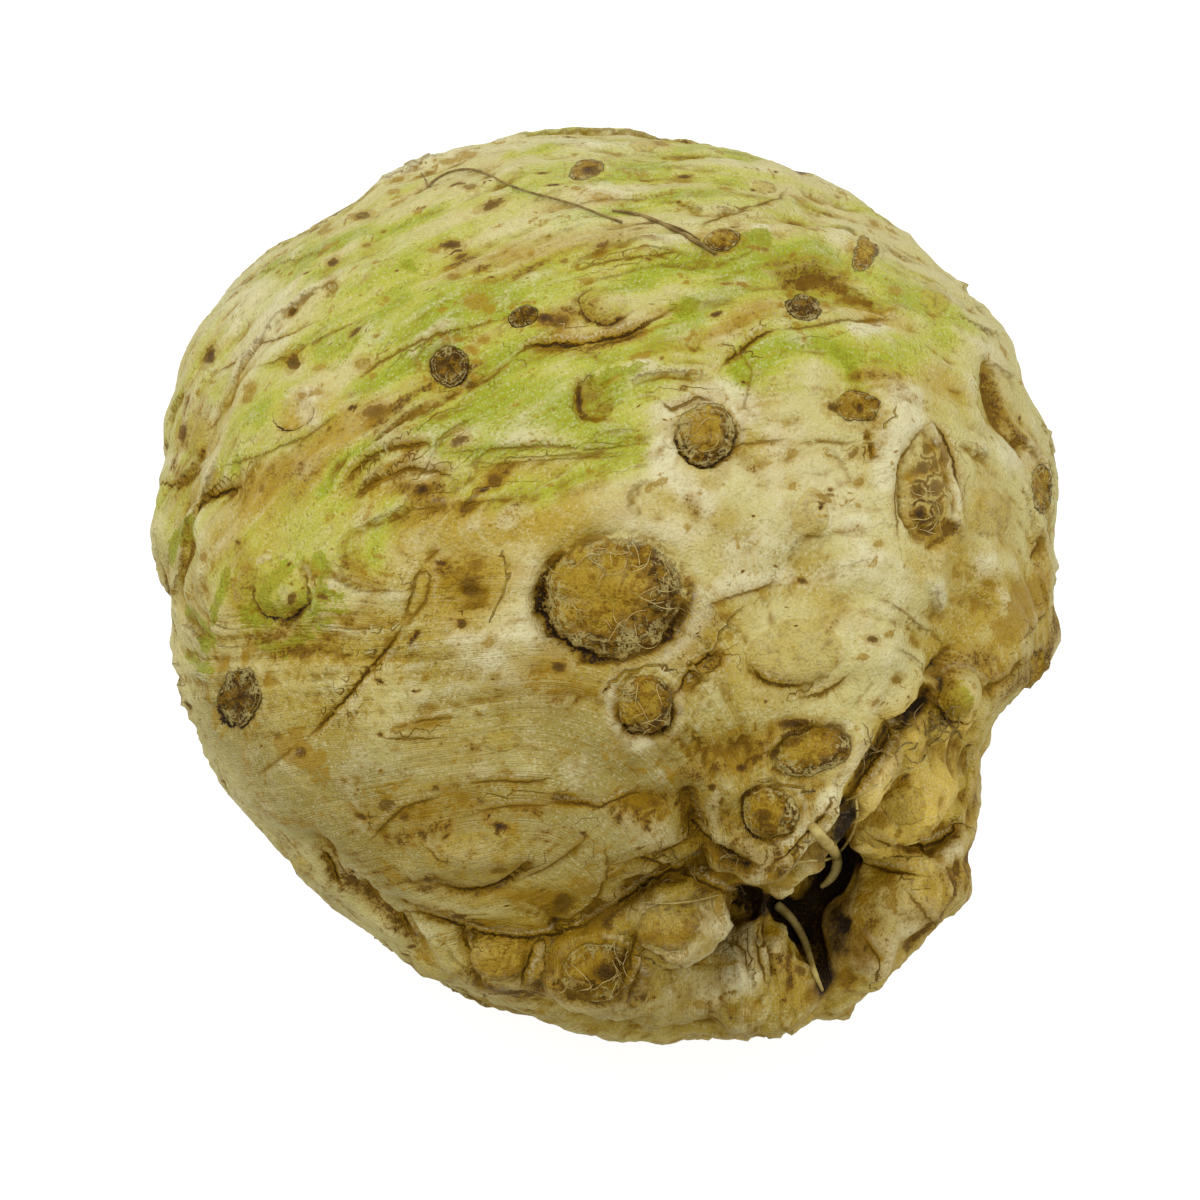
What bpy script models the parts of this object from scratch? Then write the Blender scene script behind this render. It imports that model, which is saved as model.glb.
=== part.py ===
"""Celeriac root, lying on its side: a knobbly bulb with cut root lobes round a hollow, and a trimmed crown.

Every place is given in the face frame, in millimetres from the middle of the bulb: right, up, and out towards
the side that is looked at. FACE_TILT turns that frame into the one that the root lies in, with +Z up and the
origin in the middle of the small flat spot that it rests on.
"""

import math
import random
from typing import NamedTuple

import bmesh
import bpy
import numpy as np
from mathutils import Matrix, Vector, noise
from mathutils.bvhtree import BVHTree

MM = 0.001

# Driving sizes, in millimetres and degrees
BULB_RADII = (58.0, 57.4, 56.0)
FACE_TILT = 28.0
SIGHT_DISTANCE = 585.0
REST_HEIGHT = 55.5
CROWN_TOWARDS = (-0.36, 0.66, -0.66)

# Mesh sizes
BULB_SUBDIVISIONS = 6
LOBE_SUBDIVISIONS = 4
VOXEL = 1.25
SOFTEN_STEPS = 2
TRIANGLES = 11400


class Swelling(NamedTuple):
    """A broad rise or hollow of the bulb.

    Angle runs round the outline from the right, and lean is towards the eye.
    """

    angle: float
    lean: float
    spread: float
    height: float


class Lobe(NamedTuple):
    """A rounded lump, or a rounded hollow that is cut away, turned about the out axis.

    Each trim is a direction and the share of the radius at which the lump is cut flat across it.
    """

    middle: tuple
    radii: tuple
    turn: float = 0.0
    trims: tuple = ()


class Scar(NamedTuple):
    """A root scar: a domed plug in a sunken ring, with a raised lip.

    Its place is right and up as seen on the face, or a direction from the middle of the bulb.
    """

    place: tuple
    wide: float
    tall: float
    turn: float
    ring: float
    dome: float
    lip: float


class Furrow(NamedTuple):
    """A soft groove, or a ridge where depth is below zero, along points placed as a scar's is."""

    points: tuple
    width: float
    depth: float


class Whorl(NamedTuple):
    """A ring of cut leaf bases, each a curved strip round the crown's middle."""

    count: int
    reach: float
    width: float
    thickness: float
    height: float
    start: float


SWELLINGS = [
    Swelling(146, 0, 14, 3.5),
    Swelling(175, 0, 6, -1.0),
    Swelling(33, 4, 14, 3.4),
    Swelling(12, 0, 12, 2.4),
    Swelling(356, 6, 7, 2.0),
    Swelling(90, 20, 30, -0.6),
    Swelling(213, 0, 22, -3.0),
    Swelling(236, 6, 14, -2.6),
    Swelling(183, 0, 8, -2.8),
    Swelling(59, 4, 6, 1.6),
    Swelling(178, 14, 6, 0.9),
    Swelling(54, 2, 4, -0.8),
    Swelling(46, 36, 13, 2.2),
    Swelling(35, 22, 6, 0.9),
    Swelling(150, 45, 18, 1.3),
    Swelling(255, 48, 16, 1.2),
    Swelling(35, 64, 14, -1.3),
    Swelling(340, 55, 14, 1.0),
    Swelling(334, 4, 8, -4.0),
    Swelling(300, -35, 30, 1.5),
    Swelling(20, -40, 25, -2.0),
    Swelling(160, -45, 28, -1.5),
    Swelling(70, -60, 20, 2.0),
    Swelling(230, -30, 22, 1.8),
]
ROOT_ZONE = Swelling(302, 22, 26, -9.5)
ROOT_ZONE_EDGE = 4.0

ROOT_LOBES = [
    Lobe((19.0, -27.0, 37.0), (12.5, 12.0, 11.0), -35, (((0.35, -0.93, 0.0), 0.78),)),
    Lobe((28.0, -20.0, 38.0), (9.0, 8.5, 9.5), -35, (((0.2, -0.98, 0.0), 0.72),)),
    Lobe((18.2, -34.0, 34.0), (5.6, 6.2, 8.0), -20, (((0.8, -0.6, 0.0), 0.6),)),
    Lobe(
        (37.0, -26.8, 22.0),
        (9.2, 7.6, 9.5),
        32,
        (((0.0, -1.0, 0.1), 0.72), ((1.0, 0.1, 0.2), 0.78), ((0.0, 0.2, 1.0), 0.75)),
    ),
    Lobe((43.6, -27.5, 9.0), (4.8, 12.0, 9.5), 4),
    Lobe((39.0, -39.0, 13.0), (9.6, 7.6, 11.0), 28, (((0.2, -1.0, 0.2), 0.8), ((-0.2, 0.5, 0.85), 0.8))),
    Lobe((33.0, -46.6, 14.0), (6.0, 6.8, 8.0), 10, (((-1.0, 0.0, 0.1), 0.75),)),
    Lobe((29.6, -54.6, 8.0), (3.4, 2.8, 4.0), 0),
    Lobe((27.0, -40.0, 4.0), (11.0, 11.0, 9.0), 0),
    Lobe((19.6, -51.6, 14.0), (9.8, 7.6, 12.0), 8, (((1.0, 0.3, 0.2), 0.82),)),
    Lobe((5.0, -50.6, 13.0), (18.5, 8.6, 14.0), -2),
    Lobe((-20.4, -46.4, 13.0), (5.6, 5.4, 8.0), 15),
    Lobe((-12.4, -47.4, 24.5), (5.8, 5.2, 7.0), -10),
    Lobe((-1.2, -47.8, 27.5), (8.0, 6.6, 8.0), -8, (((0.2, -0.2, 1.0), 0.82),)),
    Lobe((8.0, -43.0, 33.0), (6.2, 5.2, 6.0), 0, (((0.1, 0.2, 1.0), 0.8),)),
    Lobe((12.5, -38.0, 33.5), (5.0, 3.6, 5.0), -30),
    Lobe((23.8, -37.6, 28.0), (4.8, 3.0, 8.0), 28, (((1.0, 0.0, 0.0), 0.6), ((0.1, -1.0, 0.3), 0.6))),
    Lobe((20.8, -44.8, 24.0), (2.8, 3.8, 6.0), 15),
]
HIDDEN_LOBES = [
    Lobe((24.5, -43.5, -11.0), (9.0, 7.5, 10.0), 10),
    Lobe((38.0, -35.0, -11.0), (8.0, 9.0, 9.0), -30),
    Lobe((9.0, -48.0, -12.0), (9.0, 6.5, 8.0), 0),
    Lobe((36.0, -26.0, -29.0), (8.0, 7.0, 7.0), 20),
    Lobe((-13.0, -47.0, -8.0), (8.0, 6.0, 8.0), 10),
    Lobe((20.0, -37.0, -31.0), (9.5, 7.5, 7.0), 0),
    Lobe((45.0, -18.0, -23.0), (5.0, 6.5, 6.0), 0),
    Lobe((-4.0, -44.0, -28.0), (7.0, 5.5, 6.0), 15),
]
HOLLOWS = [
    Lobe((26.2, -40.8, 27.5), (4.8, 8.4, 11.0), 4),
    Lobe((18.4, -41.8, 31.0), (4.6, 2.4, 8.0), -28),
    Lobe((29.0, -33.0, 31.0), (3.0, 6.0, 11.0), -38),
    Lobe((35.6, -19.2, 36.5), (1.6, 8.0, 4.0), -46),
    Lobe(
        (60.0, -32.0, -10.0),
        (24.0, 24.0, 80.0),
        0,
        (((-1.0, 0.0, 0.0), 0.44), ((-0.64, 0.77, 0.0), 0.745)),
    ),
]
LUMPINESS = 0.10
LUMP_SIZE = 0.62

SCARS = [
    Scar((2.2, -2.9), 17.6, 14.2, 6, 1.5, 0.7, 0.5),
    Scar((6.2, -16.8), 9.0, 8.8, 0, 1.0, 0.7, 0.5),
    Scar((13.6, 18.6), 8.2, 8.0, 0, 1.0, 0.6, 0.7),
    Scar((-19.5, 27.3), 5.4, 5.2, 0, 1.0, 0.1, 0.3),
    Scar((-46.8, -16.0), 8.2, 8.8, 0, 1.2, 0.2, 0.4),
    Scar((0.6, 23.6), 6.2, 6.4, 30, 1.5, 0.0, 0.5),
    Scar((0.4, 34.6), 7.0, 4.6, 20, 0.6, 0.8, 0.3),
    Scar((42.2, 11.0), 8.4, 12.4, -12, 1.1, 0.5, 0.6),
    Scar((34.0, 42.4), 6.2, 6.4, -30, 0.7, 0.4, 0.4),
    Scar((22.6, -30.4), 8.4, 7.4, 20, 0.9, 0.5, 0.5),
    Scar((28.2, -23.4), 8.6, 6.6, 30, 0.8, 0.5, 0.4),
    Scar((-1.0, -51.0), 9.0, 7.4, 0, 0.7, 0.4, 0.4),
    Scar((-17.4, 0.4), 8.0, 9.4, 0, 1.1, 0.0, 0.2),
    Scar((-42.2, -2.6), 8.6, 6.4, 30, 0.5, 0.5, 0.4),
    Scar((32.5, 22.0), 8.4, 6.0, -10, 0.6, 0.2, 0.4),
    Scar((50.4, 8.0), 5.6, 5.8, 0, 0.3, 0.4, 0.3),
]
HIDDEN_SCAR_COUNT = 60
HIDDEN_SCAR_WIDTHS = (6.0, 11.5)
HIDDEN_SCAR_SEED = 11
HIDDEN_BEYOND = -0.05
CROWN_CLEAR = 36.0
SPIRAL_TURN = 137.5

FURROWS = [
    Furrow(((-22, 22), (-10, 31), (4, 32), (18, 39), (30, 40)), 2.2, 1.3),
    Furrow(((-34, 16), (-24, 20), (-14, 25), (-6, 29)), 2.0, 0.8),
    Furrow(((23, 39), (30, 38.5), (37, 36.5)), 3.2, 2.6),
    Furrow(((48.5, 26), (51.0, 21.5), (52.6, 17.5)), 2.0, 2.8),
    Furrow(((-26, 12), (-12, 13), (2, 14), (12, 21), (22, 30)), 2.4, 1.0),
    Furrow(((-54, 12), (-44, 10), (-36, 12), (-26, 16)), 2.2, 0.9),
    Furrow(((-50, -4), (-40, -9), (-28, -8), (-20, -2)), 2.4, 0.9),
    Furrow(((-38, -20), (-30, -12), (-24, -8)), 1.8, 0.7),
    Furrow(((-36, -35), (-31, -39), (-26, -44), (-17, -46.8), (-5, -46.0), (5, -40.8), (13, -37)), 2.0, 2.0),
    Furrow(((13, -37), (18, -38)), 1.8, 1.6),
    Furrow(((40, -14), (44, -8), (50, 0)), 3.6, 2.6),
    Furrow(((46, -17), (41, -19), (36.4, -22), (33.8, -28)), 2.0, 2.0),
    Furrow(((-26, -38), (-16, -39.5), (-9, -37)), 1.6, 0.9),
    Furrow(((-27, 5), (-16, 7), (-4, 9), (8, 11)), 2.0, -0.7),
    Furrow(((14, 5), (24, 2), (32, 2)), 3.0, 0.8),
    Furrow(((10, -8), (20, -6), (28, -12)), 2.4, 0.9),
    Furrow(((-30, 34), (-16, 40), (-2, 45), (14, 49)), 3.0, 0.7),
    Furrow(((14, 42), (26, 46), (34, 48)), 2.2, 0.8),
]
FOLD_COUNT = 44
FOLD_SEED = 5
FOLD_LENGTHS = (24.0, 60.0)
FOLD_WIDTH = 2.8
FOLD_DEPTH = 1.9
FOLD_WAVE = 3.0

CROWN_FLAT_SPREAD = 22.0
CROWN_FLAT_DEPTH = 3.6
CROWN_RINGS = ((27.0, 0.9), (34.0, 0.7), (42.0, 0.6), (51.0, 0.5))
CROWN_RING_SPREAD = 2.2

WHORLS = [
    Whorl(6, 17.6, 16.0, 5.2, 3.0, 8.0),
    Whorl(4, 10.6, 14.0, 5.0, 4.0, 50.0),
    Whorl(2, 4.4, 8.0, 4.6, 4.8, 20.0),
]
STALK_SINK = 5.0
STALK_LEAN = 0.22
STALK_STEPS = 6
STALK_UNEVEN = 0.9
STALK_SEED = 3
BUD_RADIUS = 2.4

GRAINS = ((17.0, 1.0), (8.5, 0.7))
BAND_COUNT = 9.0
BAND_HEIGHT = 0.7


def towards(angle: float, lean: float) -> np.ndarray:
    """Unit direction in the face frame, from an angle round the outline and a lean towards the eye."""
    a, b = math.radians(angle), math.radians(lean)
    return np.array((math.cos(a) * math.cos(b), math.sin(a) * math.cos(b), math.sin(b)))


def unit(vector) -> np.ndarray:
    """The vector at length one."""
    v = np.array(vector, float)
    return v / np.linalg.norm(v)


def bell(distance: np.ndarray, spread: float) -> np.ndarray:
    """A smooth rise of height one, which falls away over the spread."""
    return np.exp(-((distance / spread) ** 2))


def angles_from(directions: np.ndarray, pole) -> np.ndarray:
    """Degrees between each unit direction and the pole."""
    return np.degrees(np.arccos(np.clip(directions @ unit(pole), -1, 1)))


def mesh_points(mesh) -> np.ndarray:
    """The mesh's vertices as an array."""
    points = np.empty(len(mesh.vertices) * 3)
    mesh.vertices.foreach_get("co", points)
    return points.reshape(-1, 3)


def set_points(mesh, points: np.ndarray) -> None:
    """Writes the vertices back."""
    mesh.vertices.foreach_set("co", points.astype(np.float32).ravel())
    mesh.update()


def add_object(name: str, mesh) -> bpy.types.Object:
    """Links a mesh to the scene as an object."""
    obj = bpy.data.objects.new(name, mesh)
    bpy.context.scene.collection.objects.link(obj)
    return obj


def applied(obj: bpy.types.Object) -> bpy.types.Object:
    """Bakes an object's modifiers into its mesh."""
    bpy.context.view_layer.update()
    graph = bpy.context.evaluated_depsgraph_get()
    mesh = bpy.data.meshes.new_from_object(obj.evaluated_get(graph))
    obj.modifiers.clear()
    obj.data = mesh
    return obj


def bulb_mesh():
    """The bulb: a ball with its swellings, bands and grain, flatter at the crown and at the roots."""
    bm = bmesh.new()
    bmesh.ops.create_icosphere(bm, subdivisions=BULB_SUBDIVISIONS, radius=1.0)
    mesh = bpy.data.meshes.new("bulb")
    bm.to_mesh(mesh)
    bm.free()
    directions = mesh_points(mesh)
    directions /= np.linalg.norm(directions, axis=1)[:, None]
    radius = 1 / np.linalg.norm(directions / np.array(BULB_RADII), axis=1)
    for s in SWELLINGS:
        radius += s.height * bell(angles_from(directions, towards(s.angle, s.lean)), s.spread)
    zone = angles_from(directions, towards(ROOT_ZONE.angle, ROOT_ZONE.lean))
    radius += ROOT_ZONE.height / (1 + np.exp((zone - ROOT_ZONE.spread) / ROOT_ZONE_EDGE))
    crown = angles_from(directions, CROWN_TOWARDS)
    radius -= CROWN_FLAT_DEPTH * bell(crown, CROWN_FLAT_SPREAD)
    for ring, height in CROWN_RINGS:
        radius += height * bell(crown - ring, CROWN_RING_SPREAD)
    for i, d in enumerate(directions):
        spot = Vector(d) * BULB_RADII[0]
        for size, height in GRAINS:
            radius[i] += height * noise.noise(spot / size)
        wave = Vector((crown[i] / BAND_COUNT, spot.x / 34, spot.y / 34))
        radius[i] += BAND_HEIGHT * noise.noise(wave)
    set_points(mesh, directions * radius[:, None])
    return mesh


def add_lobe(bm, lobe: Lobe) -> None:
    """Adds one rounded lump to the mesh that is being gathered."""
    place = (
        Matrix.Translation(lobe.middle)
        @ Matrix.Rotation(math.radians(lobe.turn), 4, "Z")
        @ Matrix.Diagonal((*lobe.radii, 1.0))
    )
    ball = bmesh.ops.create_icosphere(bm, subdivisions=LOBE_SUBDIVISIONS, radius=1.0)["verts"]
    for vertex in ball:
        vertex.co *= 1 + LUMPINESS * noise.noise(vertex.co / LUMP_SIZE + Vector(lobe.middle))
        for direction, share in lobe.trims:
            across = Vector(direction).normalized()
            over = vertex.co @ across - share
            if over > 0:
                vertex.co -= across * over
        vertex.co = place @ vertex.co


def crown_frame() -> tuple:
    """The crown's pole and two directions across it."""
    pole = Vector(CROWN_TOWARDS).normalized()
    side = pole.orthogonal().normalized()
    return pole, side, pole.cross(side)


def add_leaf_base(bm, whorl: Whorl, turn: float, height: float) -> None:
    """Adds one cut leaf base: a strip bent round the crown, leaning outwards, with a flat cut end."""
    pole, side, other = crown_frame()
    half = whorl.width / 2 / whorl.reach
    foot = BULB_RADII[1] - CROWN_FLAT_DEPTH - STALK_SINK
    levels = []
    for level in (0.0, STALK_SINK + height):
        out = STALK_LEAN * level * whorl.reach / WHORLS[0].reach
        ring = []
        for sign in (1, -1):
            for i in range(STALK_STEPS + 1):
                share = (2 * i / STALK_STEPS - 1) * sign
                angle = turn + half * share
                belly = math.sqrt(max(0.0, 1.0 - 0.75 * share * share))
                reach = whorl.reach + out + sign * whorl.thickness / 2 * belly
                spoke = side * math.cos(angle) + other * math.sin(angle)
                ring.append(bm.verts.new(pole * (foot + level) + spoke * reach))
        levels.append(ring)
    low, high = levels
    count = len(low)
    bm.faces.new(high)
    bm.faces.new(low[::-1])
    for i in range(count):
        j = (i + 1) % count
        bm.faces.new((low[i], low[j], high[j], high[i]))


def add_leaf_stalks(bm) -> None:
    """Adds the crown's rings of cut leaf bases and the bud in the middle."""
    uneven = random.Random(STALK_SEED)
    for whorl in WHORLS:
        for i in range(whorl.count):
            turn = math.radians(whorl.start) + 2 * math.pi * (i + 0.12 * uneven.uniform(-1, 1)) / whorl.count
            add_leaf_base(bm, whorl, turn, whorl.height + STALK_UNEVEN * uneven.uniform(-1, 1))
    pole, _, _ = crown_frame()
    bud = Matrix.Translation(pole * (BULB_RADII[1] - CROWN_FLAT_DEPTH + WHORLS[-1].height * 0.6))
    bmesh.ops.create_icosphere(bm, subdivisions=3, radius=BUD_RADIUS, matrix=bud)
    bmesh.ops.recalc_face_normals(bm, faces=bm.faces[:])


def flesh() -> bpy.types.Object:
    """The bulb, its lobes and its leaf stalks grown into one closed skin, with the hollows cut out of it."""
    bm = bmesh.new()
    bulb = bulb_mesh()
    bm.from_mesh(bulb)
    bpy.data.meshes.remove(bulb)
    for lobe in ROOT_LOBES + HIDDEN_LOBES:
        add_lobe(bm, lobe)
    add_leaf_stalks(bm)
    mesh = bpy.data.meshes.new("celeriac_root")
    bm.to_mesh(mesh)
    bm.free()
    root = add_object("celeriac_root", mesh)
    add_remesh(root)
    applied(root)

    bm = bmesh.new()
    for hollow in HOLLOWS:
        add_lobe(bm, hollow)
    mesh = bpy.data.meshes.new("hollows")
    bm.to_mesh(mesh)
    bm.free()
    cutter = add_object("hollows", mesh)
    add_remesh(cutter)
    cut = root.modifiers.new("hollows", "BOOLEAN")
    cut.operation = "DIFFERENCE"
    cut.object = cutter
    add_remesh(root)
    soften = root.modifiers.new("soften", "SMOOTH")
    soften.factor = 0.5
    soften.iterations = SOFTEN_STEPS
    applied(root)
    bpy.data.objects.remove(cutter)
    return root


def add_remesh(obj: bpy.types.Object) -> None:
    """Gives the object one even skin over all that overlaps."""
    skin = obj.modifiers.new("skin", "REMESH")
    skin.mode = "VOXEL"
    skin.voxel_size = VOXEL


def normals_of(mesh) -> np.ndarray:
    """The mesh's vertex normals as an array."""
    normals = np.empty(len(mesh.vertices) * 3)
    mesh.vertex_normals.foreach_get("vector", normals)
    return normals.reshape(-1, 3)


def on_skin(tree: BVHTree, place: tuple) -> Vector:
    """The point of the skin at a place: two numbers as seen on the face, or three as a direction."""
    if len(place) == 2:
        start = Vector((0, 0, SIGHT_DISTANCE))
        end = Vector((*place, 0))
    else:
        start = Vector(place).normalized() * BULB_RADII[0] * 2
        end = Vector((0, 0, 0))
    point, _, _, _ = tree.ray_cast(start, end - start)
    return point


def hidden_scars() -> list:
    """Root scars over the side away from the face, on an even spiral, with drawn sizes."""
    draw = random.Random(HIDDEN_SCAR_SEED)
    pole = unit(CROWN_TOWARDS)
    scars = []
    for i in range(HIDDEN_SCAR_COUNT):
        out = 1 - 2 * (i + 0.5) / HIDDEN_SCAR_COUNT
        turn = math.radians(SPIRAL_TURN * i)
        around = math.sqrt(1 - out * out)
        place = np.array((around * math.cos(turn), around * math.sin(turn), out))
        width = draw.uniform(*HIDDEN_SCAR_WIDTHS)
        tall = width * draw.uniform(0.75, 1.0)
        turned = draw.uniform(0, 180)
        clear = math.degrees(math.acos(place @ pole)) > CROWN_CLEAR
        if out < HIDDEN_BEYOND and clear:
            scars.append(Scar(tuple(place), width, tall, turned, 0.14 * width, 0.08 * width, 0.6))
    return scars


def hidden_folds() -> list:
    """Wavy folds that run round the crown, over the side away from the face."""
    draw = random.Random(FOLD_SEED)
    pole, side, other = (np.array(v) for v in crown_frame())
    folds = []
    for i in range(FOLD_COUNT):
        down = math.radians(38 + 100 * i / FOLD_COUNT)
        start = math.radians(SPIRAL_TURN * i)
        sweep = math.radians(draw.uniform(*FOLD_LENGTHS))
        wave = draw.uniform(0, 2 * math.pi)
        places = []
        for step in range(7):
            share = step / 6
            angle = start + sweep * share
            tip = down + math.radians(FOLD_WAVE) * math.sin(wave + 5 * share)
            spoke = side * math.cos(angle) + other * math.sin(angle)
            places.append(tuple(pole * math.cos(tip) + spoke * math.sin(tip)))
        if max(p[2] for p in places) < HIDDEN_BEYOND:
            folds.append(Furrow(tuple(places), FOLD_WIDTH, FOLD_DEPTH * draw.uniform(0.6, 1.2)))
    return folds


def scar_relief(points: np.ndarray, normals: np.ndarray, tree: BVHTree, scar: Scar) -> np.ndarray:
    """How far the scar raises or sinks each point of the skin."""
    offset = points - np.array(on_skin(tree, scar.place))
    size = max(scar.wide, scar.tall)
    near = np.linalg.norm(offset, axis=1) < size
    normal = unit(normals[near].mean(axis=0))
    turn = math.radians(scar.turn)
    across = np.array((math.cos(turn), math.sin(turn), 0.0))
    across = unit(across - normal * (across @ normal))
    along = np.cross(normal, across)
    reach = np.hypot(offset @ across / (scar.wide / 2), offset @ along / (scar.tall / 2))
    facing = near & (np.abs(offset @ normal) < size * 0.6)
    rise = scar.lip * bell(reach - 1.25, 0.22) - scar.ring * bell(reach - 0.95, 0.2)
    return np.where(facing, rise + scar.dome * bell(reach, 0.6), 0.0)


def furrow_relief(points: np.ndarray, tree: BVHTree, furrow: Furrow) -> np.ndarray:
    """How far the furrow sinks each point of the skin, running out at its two ends."""
    path = []
    for start, end in zip(furrow.points, furrow.points[1:]):
        for share in (0.0, 0.2, 0.4, 0.6, 0.8):
            place = tuple(a + (b - a) * share for a, b in zip(start, end))
            path.append(on_skin(tree, place))
    path.append(on_skin(tree, furrow.points[-1]))
    path = [point for point in path if point is not None]
    distance = np.full(len(points), np.inf)
    fade = np.zeros(len(points))
    starts = np.array(path[:-1])
    ends = np.array(path[1:])
    for i, (start, end) in enumerate(zip(starts, ends)):
        step = end - start
        share = np.clip((points - start) @ step / max(step @ step, 1e-6), 0, 1)
        reach = np.linalg.norm(points - start - share[:, None] * step, axis=1)
        closer = reach < distance
        distance = np.where(closer, reach, distance)
        along = (i + share) / len(starts)
        fade = np.where(closer, np.clip(4 * np.minimum(along, 1 - along) + 0.2, 0, 1), fade)
    return -furrow.depth * fade * bell(distance, furrow.width)


def carve(root: bpy.types.Object) -> None:
    """Raises and sinks the skin at its scars and furrows."""
    points, normals = mesh_points(root.data), normals_of(root.data)
    tree = BVHTree.FromPolygons(points.tolist(), [tuple(f.vertices) for f in root.data.polygons])
    rise = np.zeros(len(points))
    for furrow in FURROWS + hidden_folds():
        rise += furrow_relief(points, tree, furrow)
    for scar in SCARS + hidden_scars():
        rise += scar_relief(points, normals, tree, scar)
    set_points(root.data, points + normals * rise[:, None])


def thin_out(root: bpy.types.Object) -> None:
    """Leaves the triangles that the shape needs."""
    fewer = root.modifiers.new("fewer", "DECIMATE")
    fewer.ratio = TRIANGLES / (2 * len(root.data.polygons))
    fewer.use_collapse_triangulate = True
    applied(root)


def lay_down(root: bpy.types.Object) -> None:
    """Turns the face frame into the frame that the root lies in, and cuts the flat spot that it rests on."""
    tilt = math.radians(FACE_TILT)
    right = Vector((1, 0, 0))
    up = Vector((0, math.sin(tilt), math.cos(tilt)))
    out = Vector((0, -math.cos(tilt), math.sin(tilt)))
    turn = Matrix((right, up, out)).transposed().to_4x4()
    root.data.transform(Matrix.Scale(MM, 4) @ Matrix.Translation((0, 0, REST_HEIGHT)) @ turn)
    bm = bmesh.new()
    bm.from_mesh(root.data)
    every = bm.verts[:] + bm.edges[:] + bm.faces[:]
    bmesh.ops.bisect_plane(bm, geom=every, plane_co=(0, 0, 0), plane_no=(0, 0, -1), clear_outer=True)
    rim = [e for e in bm.edges if e.is_boundary]
    bmesh.ops.holes_fill(bm, edges=rim, sides=0)
    bmesh.ops.triangulate(bm, faces=bm.faces[:])
    bm.to_mesh(root.data)
    bm.free()


def skin_material() -> bpy.types.Material:
    """Pale, waxy root skin."""
    material = bpy.data.materials.new("root_skin")
    material.use_nodes = True
    shader = material.node_tree.nodes["Principled BSDF"]
    shader.inputs["Base Color"].default_value = (0.46, 0.38, 0.14, 1.0)
    shader.inputs["Roughness"].default_value = 0.55
    shader.inputs["Metallic"].default_value = 0.0
    return material


def main() -> None:
    """Builds the root."""
    for obj in list(bpy.data.objects):
        bpy.data.objects.remove(obj)
    root = flesh()
    carve(root)
    thin_out(root)
    lay_down(root)
    root.data.materials.clear()
    root.data.materials.append(skin_material())
    root.data.shade_smooth()


main()
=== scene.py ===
"""Celeriac root lying on its side: scarred, waxy skin, root lobes round a dark hollow, rootlets and fibres.

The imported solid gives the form. Here its skin is made even and fine, the scars, cracks, folds and crusts are
raised and sunk in it, and what the shader needs to know about each place is written to the mesh as
attributes. Places on the side that the photograph shows are given as seen in it, and are found on the skin
by sight.
"""

import logging
import math
import random
from dataclasses import dataclass, field
from enum import Enum
from typing import Iterable, Sequence

import bmesh
import bpy
import numpy as np
from mathutils import Matrix, Vector, noise
from mathutils.bvhtree import BVHTree


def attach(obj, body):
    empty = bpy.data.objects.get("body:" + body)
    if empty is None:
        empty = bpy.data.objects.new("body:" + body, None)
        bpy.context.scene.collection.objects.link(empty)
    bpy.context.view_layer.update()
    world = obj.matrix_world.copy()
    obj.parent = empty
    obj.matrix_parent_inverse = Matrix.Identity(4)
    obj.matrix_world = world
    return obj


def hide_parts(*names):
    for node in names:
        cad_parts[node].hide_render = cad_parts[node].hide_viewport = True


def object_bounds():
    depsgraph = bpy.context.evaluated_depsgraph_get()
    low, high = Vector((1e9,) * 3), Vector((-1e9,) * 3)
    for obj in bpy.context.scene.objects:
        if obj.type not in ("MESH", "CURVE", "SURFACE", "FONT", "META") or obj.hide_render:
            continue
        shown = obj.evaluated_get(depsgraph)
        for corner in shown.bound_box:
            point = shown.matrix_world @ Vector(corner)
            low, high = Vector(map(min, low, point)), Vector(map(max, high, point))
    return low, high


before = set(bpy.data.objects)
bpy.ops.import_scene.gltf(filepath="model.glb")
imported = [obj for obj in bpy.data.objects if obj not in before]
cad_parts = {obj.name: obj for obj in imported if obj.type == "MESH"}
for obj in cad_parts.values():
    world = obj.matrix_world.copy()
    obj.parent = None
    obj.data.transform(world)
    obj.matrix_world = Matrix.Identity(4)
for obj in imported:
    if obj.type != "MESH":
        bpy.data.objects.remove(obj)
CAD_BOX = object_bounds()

log = logging.getLogger("celeriac")

MM = 0.001
NODE = "celeriac_root"
Point = tuple[float, float]
Colour = tuple[float, float, float]


# The view that places are given in


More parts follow.
